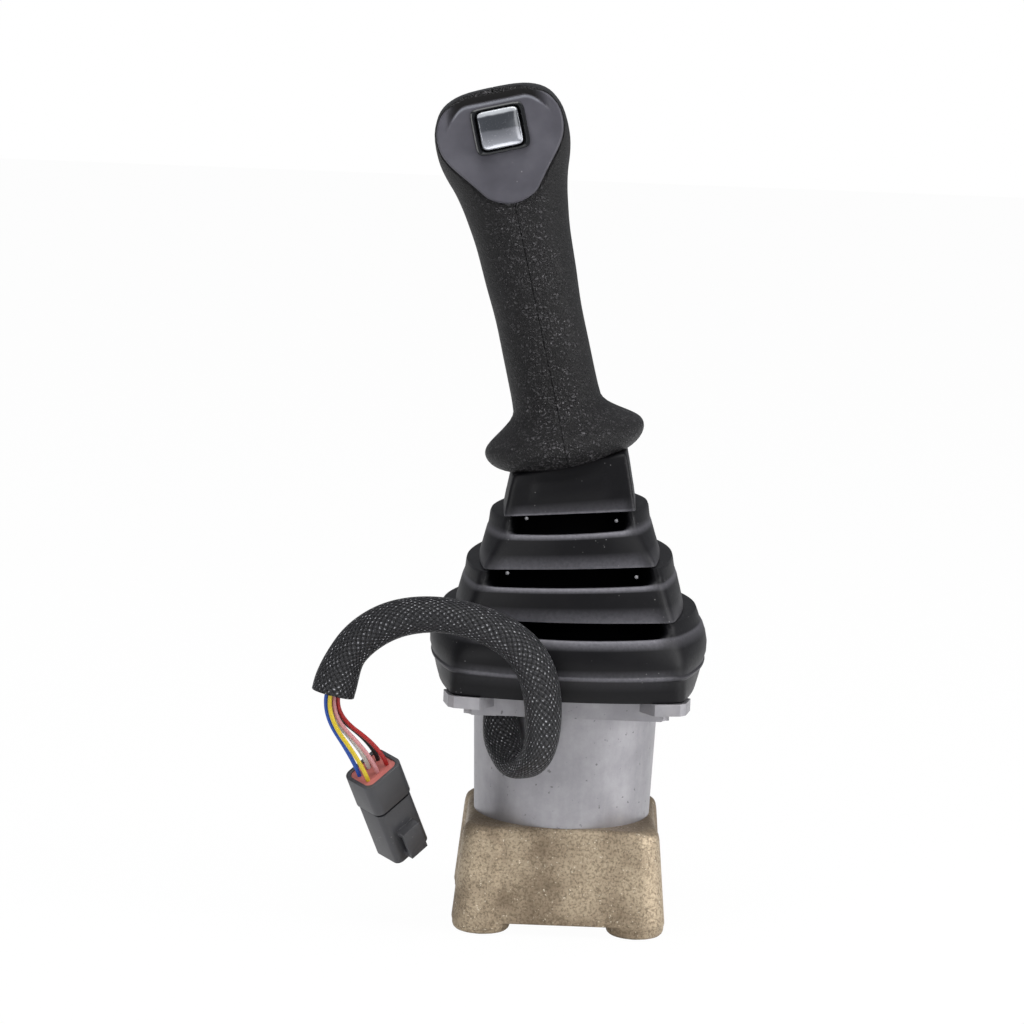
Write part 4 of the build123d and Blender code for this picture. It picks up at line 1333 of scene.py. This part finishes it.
# %% [markdown]
# ## The studio
# A pale floor that reads as white to the camera but keeps a trace of the valve's shadow, one wide
# soft lamp overhead, and one each at the front left and the right.

# %% Floor
white = (1.0, 1.0, 1.0, 1.0)
floor_glow = 0.975
glow_in_reflections = 0.25


def pale_stage(name):
    finish = Finish(name)
    rays = finish.node("ShaderNodeLightPath").socket.node
    camera_ray = Value(finish, rays.outputs["Is Camera Ray"])
    glossy_ray = Value(finish, rays.outputs["Is Glossy Ray"])
    share = (camera_ray + glossy_ray * glow_in_reflections).clamp() * floor_glow
    paper = finish.node("ShaderNodeBsdfDiffuse", None, {"Color": (0.9, 0.9, 0.9, 1.0)})
    glow = finish.node("ShaderNodeEmission", None, {"Color": white, "Strength": 1.0})
    return finish.done(finish.node("ShaderNodeMixShader", None, {0: share, 1: paper, 2: glow}))


clear_selection()
bpy.ops.mesh.primitive_plane_add(size=6.0, location=(0, 0, cad_box[0][2]))
floor = bpy.context.object
floor.name = "floor"
wear(floor, pale_stage("pale_floor"))
print("floor at", round(cad_box[0][2], 4))

# %% Room and lamps
room_strength = 0.24
world = bpy.data.worlds.new("world")
bpy.context.scene.world = world
world.use_nodes = True
tree = world.node_tree
tree.nodes.clear()
rays = tree.nodes.new("ShaderNodeLightPath")
mixer = tree.nodes.new("ShaderNodeMixShader")
tree.links.new(rays.outputs["Is Camera Ray"], mixer.inputs[0])
for index, colour, strength in ((1, (0.93, 0.95, 1.0, 1.0), room_strength), (2, white, 1.0)):
    background = tree.nodes.new("ShaderNodeBackground")
    background.inputs["Color"].default_value = colour
    background.inputs["Strength"].default_value = strength
    tree.links.new(background.outputs[0], mixer.inputs[index])
tree.links.new(mixer.outputs[0], tree.nodes.new("ShaderNodeOutputWorld").inputs[0])
bpy.context.scene.view_settings.view_transform = "Standard"


# Each lamp: its place, the height it aims at over the origin, its two sizes and its power.
for name, place, aim_height, width, depth, power in (
    ("overhead", (0.0, -0.25, 1.35), 0.1, 1.3, 1.0, 16.0),
    ("front_left", (-1.1, -1.3, 0.75), 0.15, 0.8, 0.9, 9.0),
    ("right", (1.2, -0.35, 0.55), 0.15, 0.6, 0.9, 12.0),
):
    light = bpy.data.lights.new(name, "AREA")
    light.shape = "RECTANGLE"
    light.size = width
    light.size_y = depth
    light.energy = power
    lamp = bpy.data.objects.new(name, light)
    lamp.location = place
    way = Vector((0, 0, aim_height)) - Vector(place)
    lamp.rotation_euler = way.to_track_quat("-Z", "Y").to_euler()
    bpy.context.collection.objects.link(lamp)
print("studio ready")
